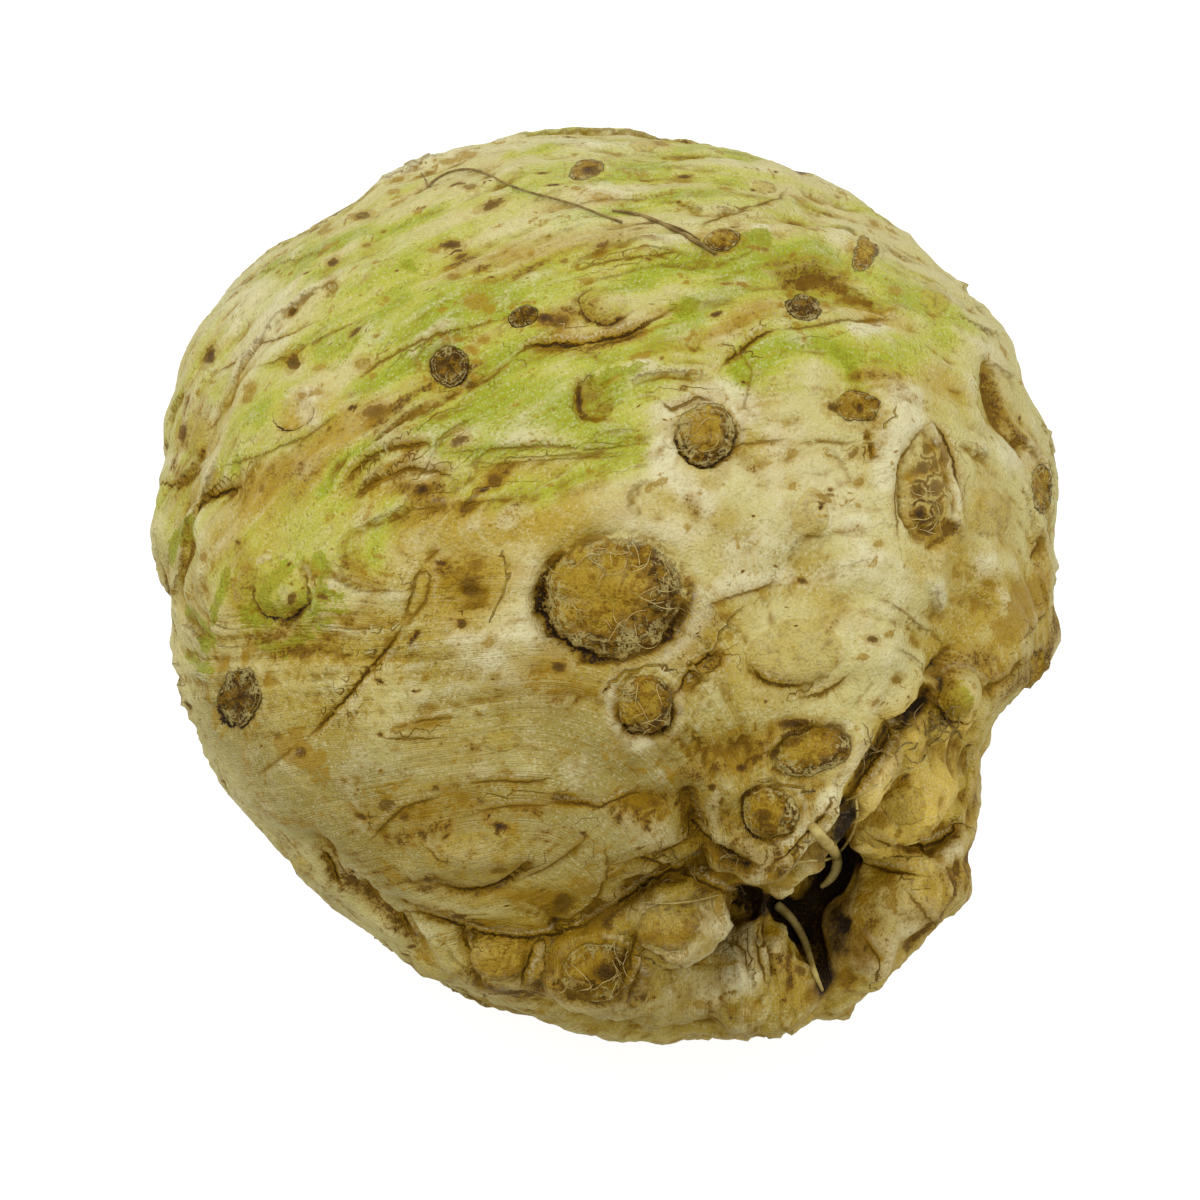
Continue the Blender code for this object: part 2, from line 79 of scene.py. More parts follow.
@dataclass(frozen=True)
class Sight:
    """The view of the photograph, and the face frame that goes with it: right, up and out, in millimetres."""

    middle: Point = (600.0, 575.0)
    mm_per_pixel: float = 0.13
    distance: float = 585.0
    tilt: float = 28.0
    rest_height: float = 55.5
    picture: float = 1200.0
    lens: float = 135.0
    sensor: float = 36.0

    def turn(self) -> Matrix:
        """Turns the face frame into the part's own frame."""
        a = math.radians(self.tilt)
        right = Vector((1, 0, 0))
        up = Vector((0, math.sin(a), math.cos(a)))
        out = Vector((0, -math.cos(a), math.sin(a)))
        return Matrix((right, up, out)).transposed()

    def to_face(self, places: np.ndarray) -> np.ndarray:
        """Places of the part, in metres, in the face frame.

        Args:
            places: one place a row, in metres.

        Returns:
            The same places as right, up and out, in millimetres.
        """
        return (places / MM - (0.0, 0.0, self.rest_height)) @ np.array(self.turn())

    def from_face(self, points: np.ndarray) -> np.ndarray:
        """Points of the face frame, in millimetres, as places of the part in metres.

        Args:
            points: one point a row, in the face frame.

        Returns:
            The same points in the part's own frame.
        """
        return (points @ np.array(self.turn()).T + (0.0, 0.0, self.rest_height)) * MM

    def ray(self, seen: Point) -> tuple[Vector, Vector]:
        """The eye, and the direction in which it sees a place of the photograph."""
        eye = Vector((0, 0, self.distance))
        right = (seen[0] - self.middle[0]) * self.mm_per_pixel
        up = (self.middle[1] - seen[1]) * self.mm_per_pixel
        return eye, Vector((right, up, 0)) - eye


SIGHT = Sight()
CROWN = Vector((-0.36, 0.66, -0.66)).normalized()


def in_box(places: np.ndarray, margin: float) -> np.ndarray:
    """Places, moved where needed to lie inside the solid's box.

    Args:
        places: one place a row, in metres.
        margin: how far inside the box they stay, in metres.

    Returns:
        The places.
    """
    low, high = (np.array(corner) for corner in CAD_BOX)
    return np.clip(places, low + margin, high - margin)


def bell(distance: np.ndarray, spread: float) -> np.ndarray:
    """A smooth rise of height one that falls away over the spread."""
    return np.exp(-((distance / spread) ** 2))


def ramp(values: np.ndarray, low: float, high: float) -> np.ndarray:
    """Zero below low, one above high, and smooth between."""
    t = np.clip((values - low) / (high - low), 0, 1)
    return t * t * (3 - 2 * t)


def grain(points: np.ndarray, size: float | Sequence[float], seed: int = 0, octaves: int = 2) -> np.ndarray:
    """Cloudy noise, from about minus one to one.

    Args:
        points: where it is read, one point a row.
        size: the size of its clouds, one number or one an axis, in the points' own unit.
        seed: which noise it is.
        octaves: how many finer layers it has.

    Returns:
        One value a point.
    """
    shift = np.array((7.3, -3.1, 5.7)) * seed
    return np.array([noise.fractal(p, 1.0, 2.0, octaves) for p in (points / np.array(size) + shift).tolist()])


def from_crown(points: np.ndarray) -> np.ndarray:
    """How far points of the face frame lie from the crown along the skin, about, in millimetres."""
    cosine = points @ np.array(CROWN) / np.linalg.norm(points, axis=1)
    return np.arccos(np.clip(cosine, -1, 1)) * SIGHT.rest_height


def unit(vector: np.ndarray) -> np.ndarray:
    """A vector brought to a length of one."""
    return vector / np.linalg.norm(vector)


def pairs(numbers: Sequence[float]) -> tuple:
    """A flat row of numbers as pairs."""
    return tuple(zip(numbers[::2], numbers[1::2]))


# What is on the skin


@dataclass(frozen=True)
class ScarLook:
    """How a root scar is shaped, in millimetres, and coloured, in shares of one."""

    ring: float
    dome: float
    lip: float
    rough: float
    tone: float
    gap: float
    rim: float


class Scars(Enum):
    """The kinds of root scar."""

    PLUG = ScarLook(ring=1.7, dome=1.5, lip=0.45, rough=0.5, tone=0.44, gap=1.0, rim=0.4)
    SMALL_PLUG = ScarLook(ring=1.1, dome=0.9, lip=0.5, rough=0.5, tone=0.5, gap=0.85, rim=0.42)
    SCAB = ScarLook(ring=0.7, dome=0.1, lip=0.35, rough=1.0, tone=1.15, gap=0.9, rim=0.3)
    PIT = ScarLook(ring=0.7, dome=-1.1, lip=0.5, rough=0.4, tone=0.02, gap=0.9, rim=0.15)
    BOSS = ScarLook(ring=0.3, dome=1.1, lip=0.1, rough=0.6, tone=0.3, gap=0.25, rim=0.3)
    KNOB = ScarLook(ring=0.7, dome=1.0, lip=0.3, rough=0.5, tone=0.05, gap=0.85, rim=0.3)
    FAINT = ScarLook(ring=0.25, dome=0.5, lip=0.15, rough=0.15, tone=0.16, gap=0.16, rim=0.2)
    SHELL = ScarLook(ring=0.9, dome=0.7, lip=0.5, rough=0.5, tone=0.06, gap=0.5, rim=0.7)
    CRUST = ScarLook(ring=0.35, dome=0.3, lip=0.3, rough=0.9, tone=0.58, gap=0.45, rim=0.3)


PLUG, SMALL_PLUG, SCAB, PIT, BOSS, KNOB, FAINT, SHELL, CRUST = Scars


@dataclass(frozen=True)
class Scar:
    """A root scar, at a place seen in the photograph or in a direction from the middle."""

    at: tuple
    wide: float
    tall: float
    turn: float
    kind: Scars
    open: float = 250.0


@dataclass(frozen=True)
class Spot:
    """A small dark spot or pore. Tone is how dark it is, ring is how much it is a ring with a pale heart."""

    at: tuple
    wide: float
    tall: float
    turn: float = 0.0
    tone: float = 0.8
    ring: float = 0.0


@dataclass(frozen=True)
class Crease:
    """A crack or fold: how deep and wide it is, how far its upper side stands out, and how dark it is."""

    path: tuple
    depth: float
    width: float
    fold: float
    dark: float


class Tone(Enum):
    """What a stroke of colour adds to the skin."""

    GREEN = 0
    BROWN = 1
    WHITE = 2
    KHAKI = 3
    OCHRE = 4
    # painted shade, partly dirt: dark laid in the deep hollow, the folds and the crevices
    DARK = 5
    TAN = 6
    OLIVE = 7


GREEN, BROWN, WHITE, KHAKI, OCHRE, DARK, TAN, OLIVE = Tone


@dataclass(frozen=True)
class Stroke:
    """A soft stroke of one tone along a path, as wide as twice its reach in millimetres."""

    tone: Tone
    path: tuple
    reach: float
    amount: float


@dataclass(frozen=True)
class Swell:
    """A soft rise or hollow of the skin along a path, in millimetres."""

    path: tuple
    reach: float
    height: float


# Each row: across, down, wide, tall, turn, kind, and where given the side that gapes most.
SEEN_SCARS = tuple(Scar(row[:2], *row[2:]) for row in (
    (614, 597, 136, 114, 4, PLUG, 222), (646, 706, 54, 60, 0, SMALL_PLUG, 290),
    (706, 434, 56, 58, 0, SMALL_PLUG, 270), (450, 365, 38, 38, 0, SCAB), (239, 697, 40, 62, -12, SCAB),
    (524, 316, 28, 20, 15, SCAB), (594, 398, 38, 44, 0, PIT, 215), (604, 306, 46, 36, -10, KNOB),
    (465, 580, 50, 50, 0, FAINT, 300), (925, 490, 48, 100, 8, SHELL), (866, 250, 24, 40, -28, CRUST),
    (770, 814, 54, 50, 0, SMALL_PLUG, 200), (812, 752, 78, 44, 18, SMALL_PLUG, 100),
    (598, 972, 74, 58, 0, CRUST), (280, 592, 52, 56, 20, KNOB), (858, 405, 44, 32, 0, CRUST),
    (990, 513, 42, 46, 0, FAINT), (668, 926, 64, 44, 10, BOSS), (502, 956, 62, 48, 0, BOSS),
    (292, 412, 42, 32, 30, PIT, 215), (811, 513, 36, 46, -15, FAINT), (588, 169, 36, 18, 8, CRUST),
    (720, 240, 36, 20, 10, CRUST), (200, 436, 34, 46, 10, FAINT), (804, 308, 34, 24, -15, SCAB),
    (960, 694, 44, 46, 0, KNOB), (795, 650, 96, 62, 8, FAINT), (936, 297, 30, 36, 0, FAINT),
    (645, 145, 30, 14, 0, FAINT), (764, 187, 26, 14, -10, FAINT), (437, 960, 52, 50, 0, FAINT),
    (476, 858, 100, 52, 6, FAINT), (502, 740, 38, 20, 0, FAINT), (1036, 672, 40, 46, 40, CRUST),
    (905, 805, 44, 40, 0, FAINT), (1042, 488, 22, 50, 0, CRUST), (300, 865, 24, 24, 0, FAINT),
))

# Each row: across, down, wide, tall, turn, and where given tone and ring.
SEEN_SPOTS = tuple(Spot(row[:2], *row[2:]) for row in (
    (293, 362, 17, 17, 0, 0.95, 0.3), (333, 263, 13, 9, 25, 0.85), (333, 287, 12, 14, 0, 0.7, 0.7),
    (363, 216, 18, 9, 10, 0.85, 0.6), (293, 312, 13, 8, 30, 0.85), (210, 356, 10, 22, -25, 0.9),
    (364, 364, 17, 13, 20, 0.6, 0.4), (320, 368, 14, 7, 10, 0.45), (302, 395, 12, 6, 0, 0.6),
    (318, 393, 10, 7, 0, 0.5), (451, 245, 21, 10, 5, 0.85), (434, 251, 14, 7, 0, 0.5),
    (367, 247, 10, 6, 0, 0.65), (470, 187, 15, 6, 0, 0.7), (492, 205, 30, 9, 22, 0.8),
    (478, 302, 26, 18, 0, 0.45), (375, 412, 26, 12, 12, 0.75), (495, 481, 14, 15, 0, 0.95, 0.8),
    (423, 490, 18, 12, 10, 0.95), (462, 624, 10, 10, 0, 0.85), (412, 641, 5, 9, 0, 1),
    (559, 667, 17, 11, 0, 0.85), (563, 902, 24, 17, 20, 0.85, 0.4), (388, 805, 19, 12, 0, 0.85, 0.4),
    (421, 812, 30, 13, 12, 0.6, 0.5), (463, 800, 12, 14, 0, 0.6), (500, 826, 22, 8, -12, 1),
    (565, 799, 32, 10, -5, 0.85), (797, 724, 40, 12, 5, 0.9), (655, 804, 12, 10, 0, 0.75),
    (832, 407, 13, 8, 0, 0.85), (859, 409, 8, 12, 0, 0.85), (955, 573, 7, 11, 0, 0.6),
    (990, 585, 15, 12, 30, 0.55), (896, 680, 11, 8, 0, 0.7), (878, 544, 9, 7, 0, 0.55),
    (640, 172, 15, 9, 0, 0.4, 0.5), (682, 180, 24, 8, -5, 0.45), (600, 197, 24, 9, 0, 0.5, 0.4),
    (800, 174, 24, 6, 0, 0.8), (655, 136, 24, 4, 0, 0.8), (250, 388, 14, 10, 0, 0.5),
    (247, 400, 12, 8, 0, 0.6), (183, 433, 9, 20, 0, 0.8), (178, 478, 14, 14, 0, 0.6),
    (205, 452, 6, 5, 0, 0.9), (277, 736, 10, 7, 0, 0.7), (300, 752, 13, 11, 0, 0.8),
    (450, 160, 20, 5, 10, 0.55), (395, 193, 14, 5, 10, 0.45), (325, 232, 20, 6, 20, 0.5),
    (690, 795, 12, 8, 0, 0.8), (712, 787, 9, 8, 0, 0.85), (742, 768, 12, 9, 0, 0.85),
    (758, 757, 11, 8, 0, 0.8), (565, 262, 8, 5, 0, 0.7), (600, 258, 12, 5, 10, 0.6),
    (531, 255, 7, 7, 0, 0.5), (919, 470, 15, 17, 0, 0.78), (934, 466, 11, 16, 0, 0.74),
    (915, 492, 14, 17, 0, 0.8), (932, 489, 13, 18, 0, 0.76), (919, 514, 20, 18, 0, 0.95),
    (937, 510, 12, 14, 0, 0.74), (928, 530, 18, 12, 0, 0.8), (926, 449, 13, 12, 0, 0.72),
    (944, 486, 7, 16, 0, 0.7), (944, 455, 8, 30, 12, 0.7), (908, 476, 6, 14, 0, 0.5),
    (580, 400, 7, 32, 6, 0.9), (594, 418, 26, 7, -10, 0.75), (612, 380, 20, 4, 30, 0.3),
    (470, 588, 26, 18, -20, 0.8), (476, 566, 16, 14, 0, 0.7), (448, 582, 18, 8, 30, 0.5),
    (560, 322, 20, 12, 10, 0.8), (544, 318, 18, 10, 0, 0.9), (400, 462, 30, 6, 16, 0.45),
    (380, 480, 20, 5, 20, 0.5), (606, 972, 32, 24, 0, 0.9), (626, 962, 18, 22, 0, 0.85),
    (584, 990, 26, 12, -10, 0.8), (528, 962, 20, 24, 0, 0.7), (492, 962, 22, 12, 0, 0.6),
    (655, 936, 22, 12, 0, 0.6), (684, 934, 14, 10, 0, 0.55), (660, 852, 30, 10, 10, 0.8),
    (700, 868, 36, 16, 0, 0.9), (640, 800, 26, 14, 10, 0.6), (694, 818, 16, 22, 0, 0.9),
    (764, 816, 18, 16, 0, 0.8), (792, 742, 26, 10, 20, 0.75), (590, 170, 20, 9, 0, 0.85),
    (1040, 545, 14, 24, 0, 0.7), (895, 290, 14, 8, -20, 0.4), (1000, 345, 8, 10, 0, 0.4),
    (640, 890, 14, 9, 0, 0.85), (880, 820, 14, 12, 0, 0.6), (940, 860, 9, 9, 0, 0.5),
    (905, 985, 12, 9, 0, 0.5), (700, 1004, 14, 9, 0, 0.5), (805, 955, 16, 18, 0, 0.7, 0.5),
    (430, 1000, 14, 9, 0, 0.5),
))

# Each row: depth, width, fold, dark, and then the places of its path.
SEEN_CREASES = tuple(Crease(pairs(row[4:]), *row[:4]) for row in (
    (0.5, 0.5, 0.9, 0.95, 516, 356, 532, 347, 556, 345, 590, 343, 622, 336, 650, 322, 668, 312),
    (0.15, 0.6, 0.5, 0.45, 516, 356, 492, 378, 464, 392, 436, 406, 408, 424, 384, 438, 356, 450),
    (0.2, 0.6, 0.3, 0.2, 356, 450, 338, 470, 326, 492),
    (0.15, 0.5, 0.35, 0.4, 352, 386, 374, 366, 404, 350, 440, 334, 486, 325, 505, 318),
    (0.2, 0.5, 0.3, 0.45, 318, 322, 290, 336, 262, 346, 238, 360, 214, 376),
    (0.7, 0.6, 0.5, 0.95, 197, 520, 199, 506, 212, 497, 228, 491, 243, 487),
    (0.5, 0.6, 0.4, 0.6, 160, 480, 172, 486, 186, 480, 204, 466),
    (0.2, 0.5, 0.3, 0.55, 786, 190, 778, 200, 750, 208, 722, 218, 700, 226),
    (0.2, 0.5, 0.3, 0.35, 570, 272, 610, 262, 650, 256, 690, 250),
    (0.2, 0.7, 0.4, 0.2, 560, 300, 590, 282, 640, 268, 700, 262, 740, 262),
    (0.5, 0.6, 0.3, 0.8, 930, 422, 944, 436, 952, 462, 958, 490),
    (0.3, 0.5, 0.4, 0.75, 722, 366, 742, 350, 760, 336, 774, 330),
    (0.2, 0.5, 0.3, 0.4, 774, 330, 802, 328, 838, 321, 870, 320, 900, 322),
    (0.5, 0.5, 0.4, 0.7, 866, 430, 870, 444, 872, 458),
    (0.2, 0.6, 0.3, 0.25, 796, 446, 820, 440, 846, 444, 866, 440),
    (0.15, 0.5, 0.2, 0.35, 690, 446, 726, 447, 762, 442, 790, 440),
    (0.25, 0.7, 0.2, 0.1, 546, 646, 536, 610, 542, 570, 566, 540, 604, 530),
    (0.25, 0.5, 0.3, 0.35, 692, 612, 722, 600, 756, 590, 784, 579),
    (0.6, 0.6, 0.4, 0.9, 676, 694, 690, 672, 706, 656, 722, 650),
    (0.3, 0.5, 0.3, 0.6, 722, 650, 720, 664, 706, 676, 690, 690),
    (0.35, 0.5, 0.5, 0.75, 752, 668, 764, 682, 786, 687, 806, 684),
    (0.3, 0.5, 0.4, 0.6, 800, 698, 820, 694, 838, 684, 846, 676),
    (0.45, 0.5, 0.3, 0.8, 404, 624, 386, 650, 364, 676, 344, 700, 326, 720, 308, 738),
    (0.3, 0.5, 0.2, 0.45, 404, 622, 410, 600, 416, 578, 424, 566),
    (0.3, 0.5, 0.2, 0.4, 424, 566, 430, 580, 426, 602, 408, 622),
    (0.2, 0.5, 0.1, 0.4, 440, 548, 424, 562), (0.2, 0.5, 0.3, 0.3, 300, 742, 276, 762, 256, 776),
    (0.9, 0.7, 0.4, 0.9, 322, 850, 334, 868, 338, 888),
    (0.8, 0.7, 0.4, 0.85, 338, 888, 352, 872, 366, 882, 384, 900),
    (0.8, 0.7, 0.4, 0.9, 384, 898, 402, 916, 412, 936),
    (0.7, 0.7, 1.2, 0.85, 404, 910, 430, 914, 458, 924, 488, 934, 520, 938, 552, 934, 582, 926, 606, 912),
    (0.8, 0.7, 1, 0.85, 606, 912, 626, 896, 650, 880, 680, 866, 706, 856),
    (0.6, 0.6, 0.8, 0.8, 432, 884, 460, 890, 488, 888, 510, 876, 530, 859),
    (0.35, 0.5, 0.4, 0.55, 372, 840, 388, 822, 404, 808, 430, 800, 444, 796),
    (0.25, 0.4, 0.2, 0.5, 424, 846, 436, 857, 448, 864, 450, 856),
    (0.35, 0.5, 0.4, 0.55, 470, 784, 500, 781, 530, 783, 554, 778),
    (0.1, 0.4, 0.1, 0.3, 388, 730, 412, 724, 436, 719, 462, 718),
    (0.15, 0.4, 0.2, 0.4, 380, 738, 410, 740, 444, 738),
    (0.25, 0.5, 0.3, 0.45, 478, 814, 496, 808, 530, 806, 552, 806),
    (0.35, 0.5, 0.4, 0.7, 552, 804, 586, 804, 600, 808, 616, 800, 640, 792),
    (0.3, 0.6, 0.4, 0.45, 520, 880, 548, 868, 574, 850, 590, 836),
    (0.3, 0.6, 0.4, 0.5, 560, 920, 592, 904, 604, 884, 608, 862, 604, 844),
    (0.9, 0.7, 0.6, 0.9, 690, 800, 696, 824, 712, 842, 736, 856, 764, 868),
    (0.6, 0.7, 0.4, 0.8, 640, 858, 668, 852, 694, 838),
    (0.6, 0.7, 0.4, 0.8, 610, 866, 640, 860, 672, 866, 700, 880, 740, 900),
    (0.5, 0.6, 0.5, 0.6, 632, 928, 640, 946, 662, 958, 690, 964, 704, 964),
    (0.5, 0.6, 0.3, 0.7, 464, 934, 466, 950, 476, 962),
    (1.1, 0.7, 1, 0.95, 834, 796, 824, 818, 804, 840, 786, 858, 766, 876),
    (0.6, 0.6, 0.3, 0.8, 534, 940, 530, 960, 520, 986),
    (0.5, 0.6, 0.3, 0.7, 468, 982, 484, 992, 500, 1006),
    (0.5, 0.6, 0.3, 0.7, 636, 936, 632, 960, 620, 996),
    (0.6, 0.7, 0.5, 0.85, 880, 716, 892, 728, 880, 752, 862, 776, 846, 802),
    (0.6, 0.6, 0.4, 0.85, 932, 704, 950, 722, 970, 722),
    (0.7, 0.7, 0.5, 0.85, 872, 838, 900, 843, 930, 846, 946, 836, 956, 826, 978, 832),
    (0.5, 0.6, 0.4, 0.7, 864, 862, 892, 872, 920, 876),
    (0.3, 0.6, 0.3, 0.2, 966, 740, 966, 780, 960, 812),
    (0.5, 0.6, 0.3, 0.7, 1028, 560, 1040, 548, 1044, 530),
    (0.3, 0.6, 0.3, 0.5, 1020, 640, 1036, 620, 1052, 606),
    (0.4, 0.6, 0.4, 0.5, 984, 690, 1010, 676, 1024, 656),
    (0.3, 0.5, 0.3, 0.5, 898, 540, 894, 500, 900, 462, 914, 438, 926, 424),
    (0.15, 0.4, 0.2, 0.25, 738, 350, 752, 372, 744, 404, 752, 420),
    (0.3, 0.4, 0.3, 0.5, 660, 402, 672, 410, 690, 402, 698, 398, 712, 402),
    (0.3, 0.5, 0.7, 0.6, 346, 480, 364, 462, 392, 450, 424, 444, 446, 448),
    (0.3, 0.5, 0.7, 0.5, 356, 496, 376, 480, 410, 468, 440, 472, 458, 482),
    (0.1, 0.5, 0.45, 0.3, 430, 456, 480, 450, 540, 446, 600, 450, 650, 444),
    (0.1, 0.5, 0.35, 0.25, 470, 470, 520, 462, 580, 458, 640, 456),
    (0.1, 0.5, 0.3, 0.3, 396, 512, 440, 508, 490, 502, 540, 500),
    (0.5, 0.6, 0.3, 0.7, 760, 920, 756, 950, 766, 985),
    (0.3, 0.6, 0.3, 0.45, 722, 930, 744, 950, 748, 976),
    (0.3, 0.6, 0.3, 0.45, 905, 890, 930, 920, 932, 950),
    (0.4, 0.6, 0.3, 0.6, 862, 936, 880, 960, 870, 990),
    (0.1, 0.5, 0.3, 0.25, 648, 262, 690, 270, 730, 262, 770, 246),
    (0.1, 0.5, 0.35, 0.3, 250, 372, 290, 356, 330, 336, 372, 316),
    (0.1, 0.5, 0.4, 0.3, 216, 470, 260, 456, 310, 436, 352, 404),
    (0.1, 0.5, 0.3, 0.25, 220, 300, 250, 280, 290, 262, 340, 248),
    (0.1, 0.5, 0.3, 0.25, 560, 210, 600, 200, 640, 200, 690, 190),
))

# Each row: reach, height, and then the places of its path.
SEEN_SWELLS = tuple(Swell(pairs(row[2:]), *row[:2]) for row in (
    (2, -2.2, 962, 656, 940, 676, 926, 704, 896, 732, 868, 756, 852, 786),
    (4.6, 1.5, 900, 780, 912, 800, 886, 812), (1.3, -1.7, 868, 842, 900, 848, 936, 846, 958, 828),
    (1.3, -0.6, 952, 716, 964, 770, 958, 822),
    (1.5, 1.6, 864, 744, 846, 780, 814, 820, 786, 850, 762, 868),
    (1.6, -2.6, 846, 812, 830, 840, 812, 860, 790, 880), (2.6, -3, 838, 850, 834, 880),
    (1.6, 1, 782, 886, 796, 892), (2.4, 1, 700, 806, 730, 792, 760, 786), (3, 1, 776, 830, 776, 850),
    (1.4, -1.8, 692, 800, 694, 826, 712, 846, 742, 862), (4, 1.8, 598, 966, 600, 974),
    (3.4, 1.3, 504, 954, 506, 960), (3.4, 1.5, 668, 924, 672, 928), (3.4, 1.1, 436, 956, 438, 962),
    (1.1, -1.4, 552, 930, 548, 960, 536, 992), (1.1, -1.4, 636, 936, 640, 966, 632, 1000),
    (1.1, -1.2, 466, 926, 466, 956, 478, 984),
    (1.3, -1.3, 404, 908, 460, 922, 520, 936, 582, 926, 640, 892, 704, 858),
    (2.2, -1.5, 700, 872, 730, 886, 750, 900), (2.8, 1.5, 716, 924, 728, 944, 736, 964),
    (2.2, -1.4, 800, 934, 808, 960), (1.8, -1, 640, 884, 690, 872, 720, 890),
    (1.6, 1, 660, 892, 684, 884), (2, -0.9, 880, 868, 930, 880, 966, 864), (4, 0.8, 900, 890, 930, 930),
    (1.8, -1.2, 760, 1000, 780, 960, 770, 920), (2.2, 1.2, 806, 955, 808, 965),
    (2.4, 2, 957, 694, 960, 696), (2.2, 0.8, 1000, 684, 1036, 668, 1052, 640),
    (1.4, -1.1, 450, 884, 490, 890, 524, 866), (2.4, 0.9, 420, 868, 450, 846, 500, 838, 528, 850),
    (1.8, -1.4, 320, 846, 340, 884, 390, 908, 412, 936), (2.4, -1.2, 640, 806, 668, 800, 690, 802),
    (3, 0.8, 610, 830, 660, 830), (1, -0.9, 560, 800, 596, 804),
    (1.6, -0.8, 690, 760, 730, 752, 790, 728), (1.4, -0.7, 820, 690, 850, 676),
    (1.6, -0.8, 756, 672, 780, 690, 810, 690), (4, -0.5, 530, 640, 590, 690, 560, 720),
    (4, 0.7, 476, 660, 500, 650), (3, -0.9, 460, 580, 470, 590),
    (1.6, -0.9, 180, 510, 200, 500, 240, 488), (2.4, 0.8, 190, 590, 210, 560, 205, 530),
    (1.6, 0.9, 606, 380, 640, 372), (2, -1, 590, 402, 598, 410), (2.6, 0.7, 420, 440, 360, 470),
    (1.6, 0.7, 650, 250, 700, 246, 760, 236), (2.6, 0.7, 866, 250, 868, 256),
    (3.4, -0.7, 786, 274, 830, 276, 868, 300), (3.4, 0.6, 700, 300, 760, 262, 830, 240),
    (1.5, -1.5, 984, 372, 998, 412, 1024, 442), (2, 0.7, 964, 380, 974, 420, 1000, 452),
    (2, 0.7, 1018, 384, 1032, 420), (3, -1.5, 946, 660, 966, 630, 984, 606),
    (2.4, 0.6, 892, 400, 888, 440, 884, 480), (4, 0.5, 760, 420, 830, 430), (3, 0.4, 700, 590, 760, 570),
    (4, 0.5, 560, 400, 620, 410, 540, 420), (3.4, 0.5, 350, 330, 430, 300), (4, 0.8, 430, 860, 500, 850),
    (3, -0.6, 260, 640, 330, 650), (2.2, 0.4, 470, 440, 600, 440), (2.4, -0.6, 560, 480, 470, 505),
    (2.6, 0.5, 396, 450, 440, 470), (2.4, -0.6, 760, 920, 790, 985), (2.4, -0.6, 700, 740, 640, 770),
    (3, 0.5, 640, 830, 600, 812), (3.2, -2.7, 366, 908, 396, 930, 422, 950),
    (3, -0.6, 436, 968, 470, 984), (5, -1.1, 206, 420, 166, 500, 156, 570, 160, 640),
    (5, -1, 186, 720, 214, 776, 250, 824), (4, -1.5, 610, 1034, 650, 1040, 690, 1036),
    (3.4, 0.9, 500, 1004, 530, 1016), (4, -1.3, 1056, 660, 1062, 610, 1060, 540),
    (3, -0.8, 1040, 680, 1010, 706), (3.4, -1.4, 838, 186, 862, 206),
    (4, -1, 400, 166, 430, 152, 470, 144), (4, -0.7, 560, 130, 620, 128, 680, 136),
    (4, -1, 996, 300, 1014, 336, 1030, 380), (6, 0.6, 216, 290, 260, 246, 310, 210),
    (3, -0.7, 975, 860, 950, 900, 920, 940), (2.4, -0.7, 440, 172, 480, 172, 520, 189, 560, 202),
))

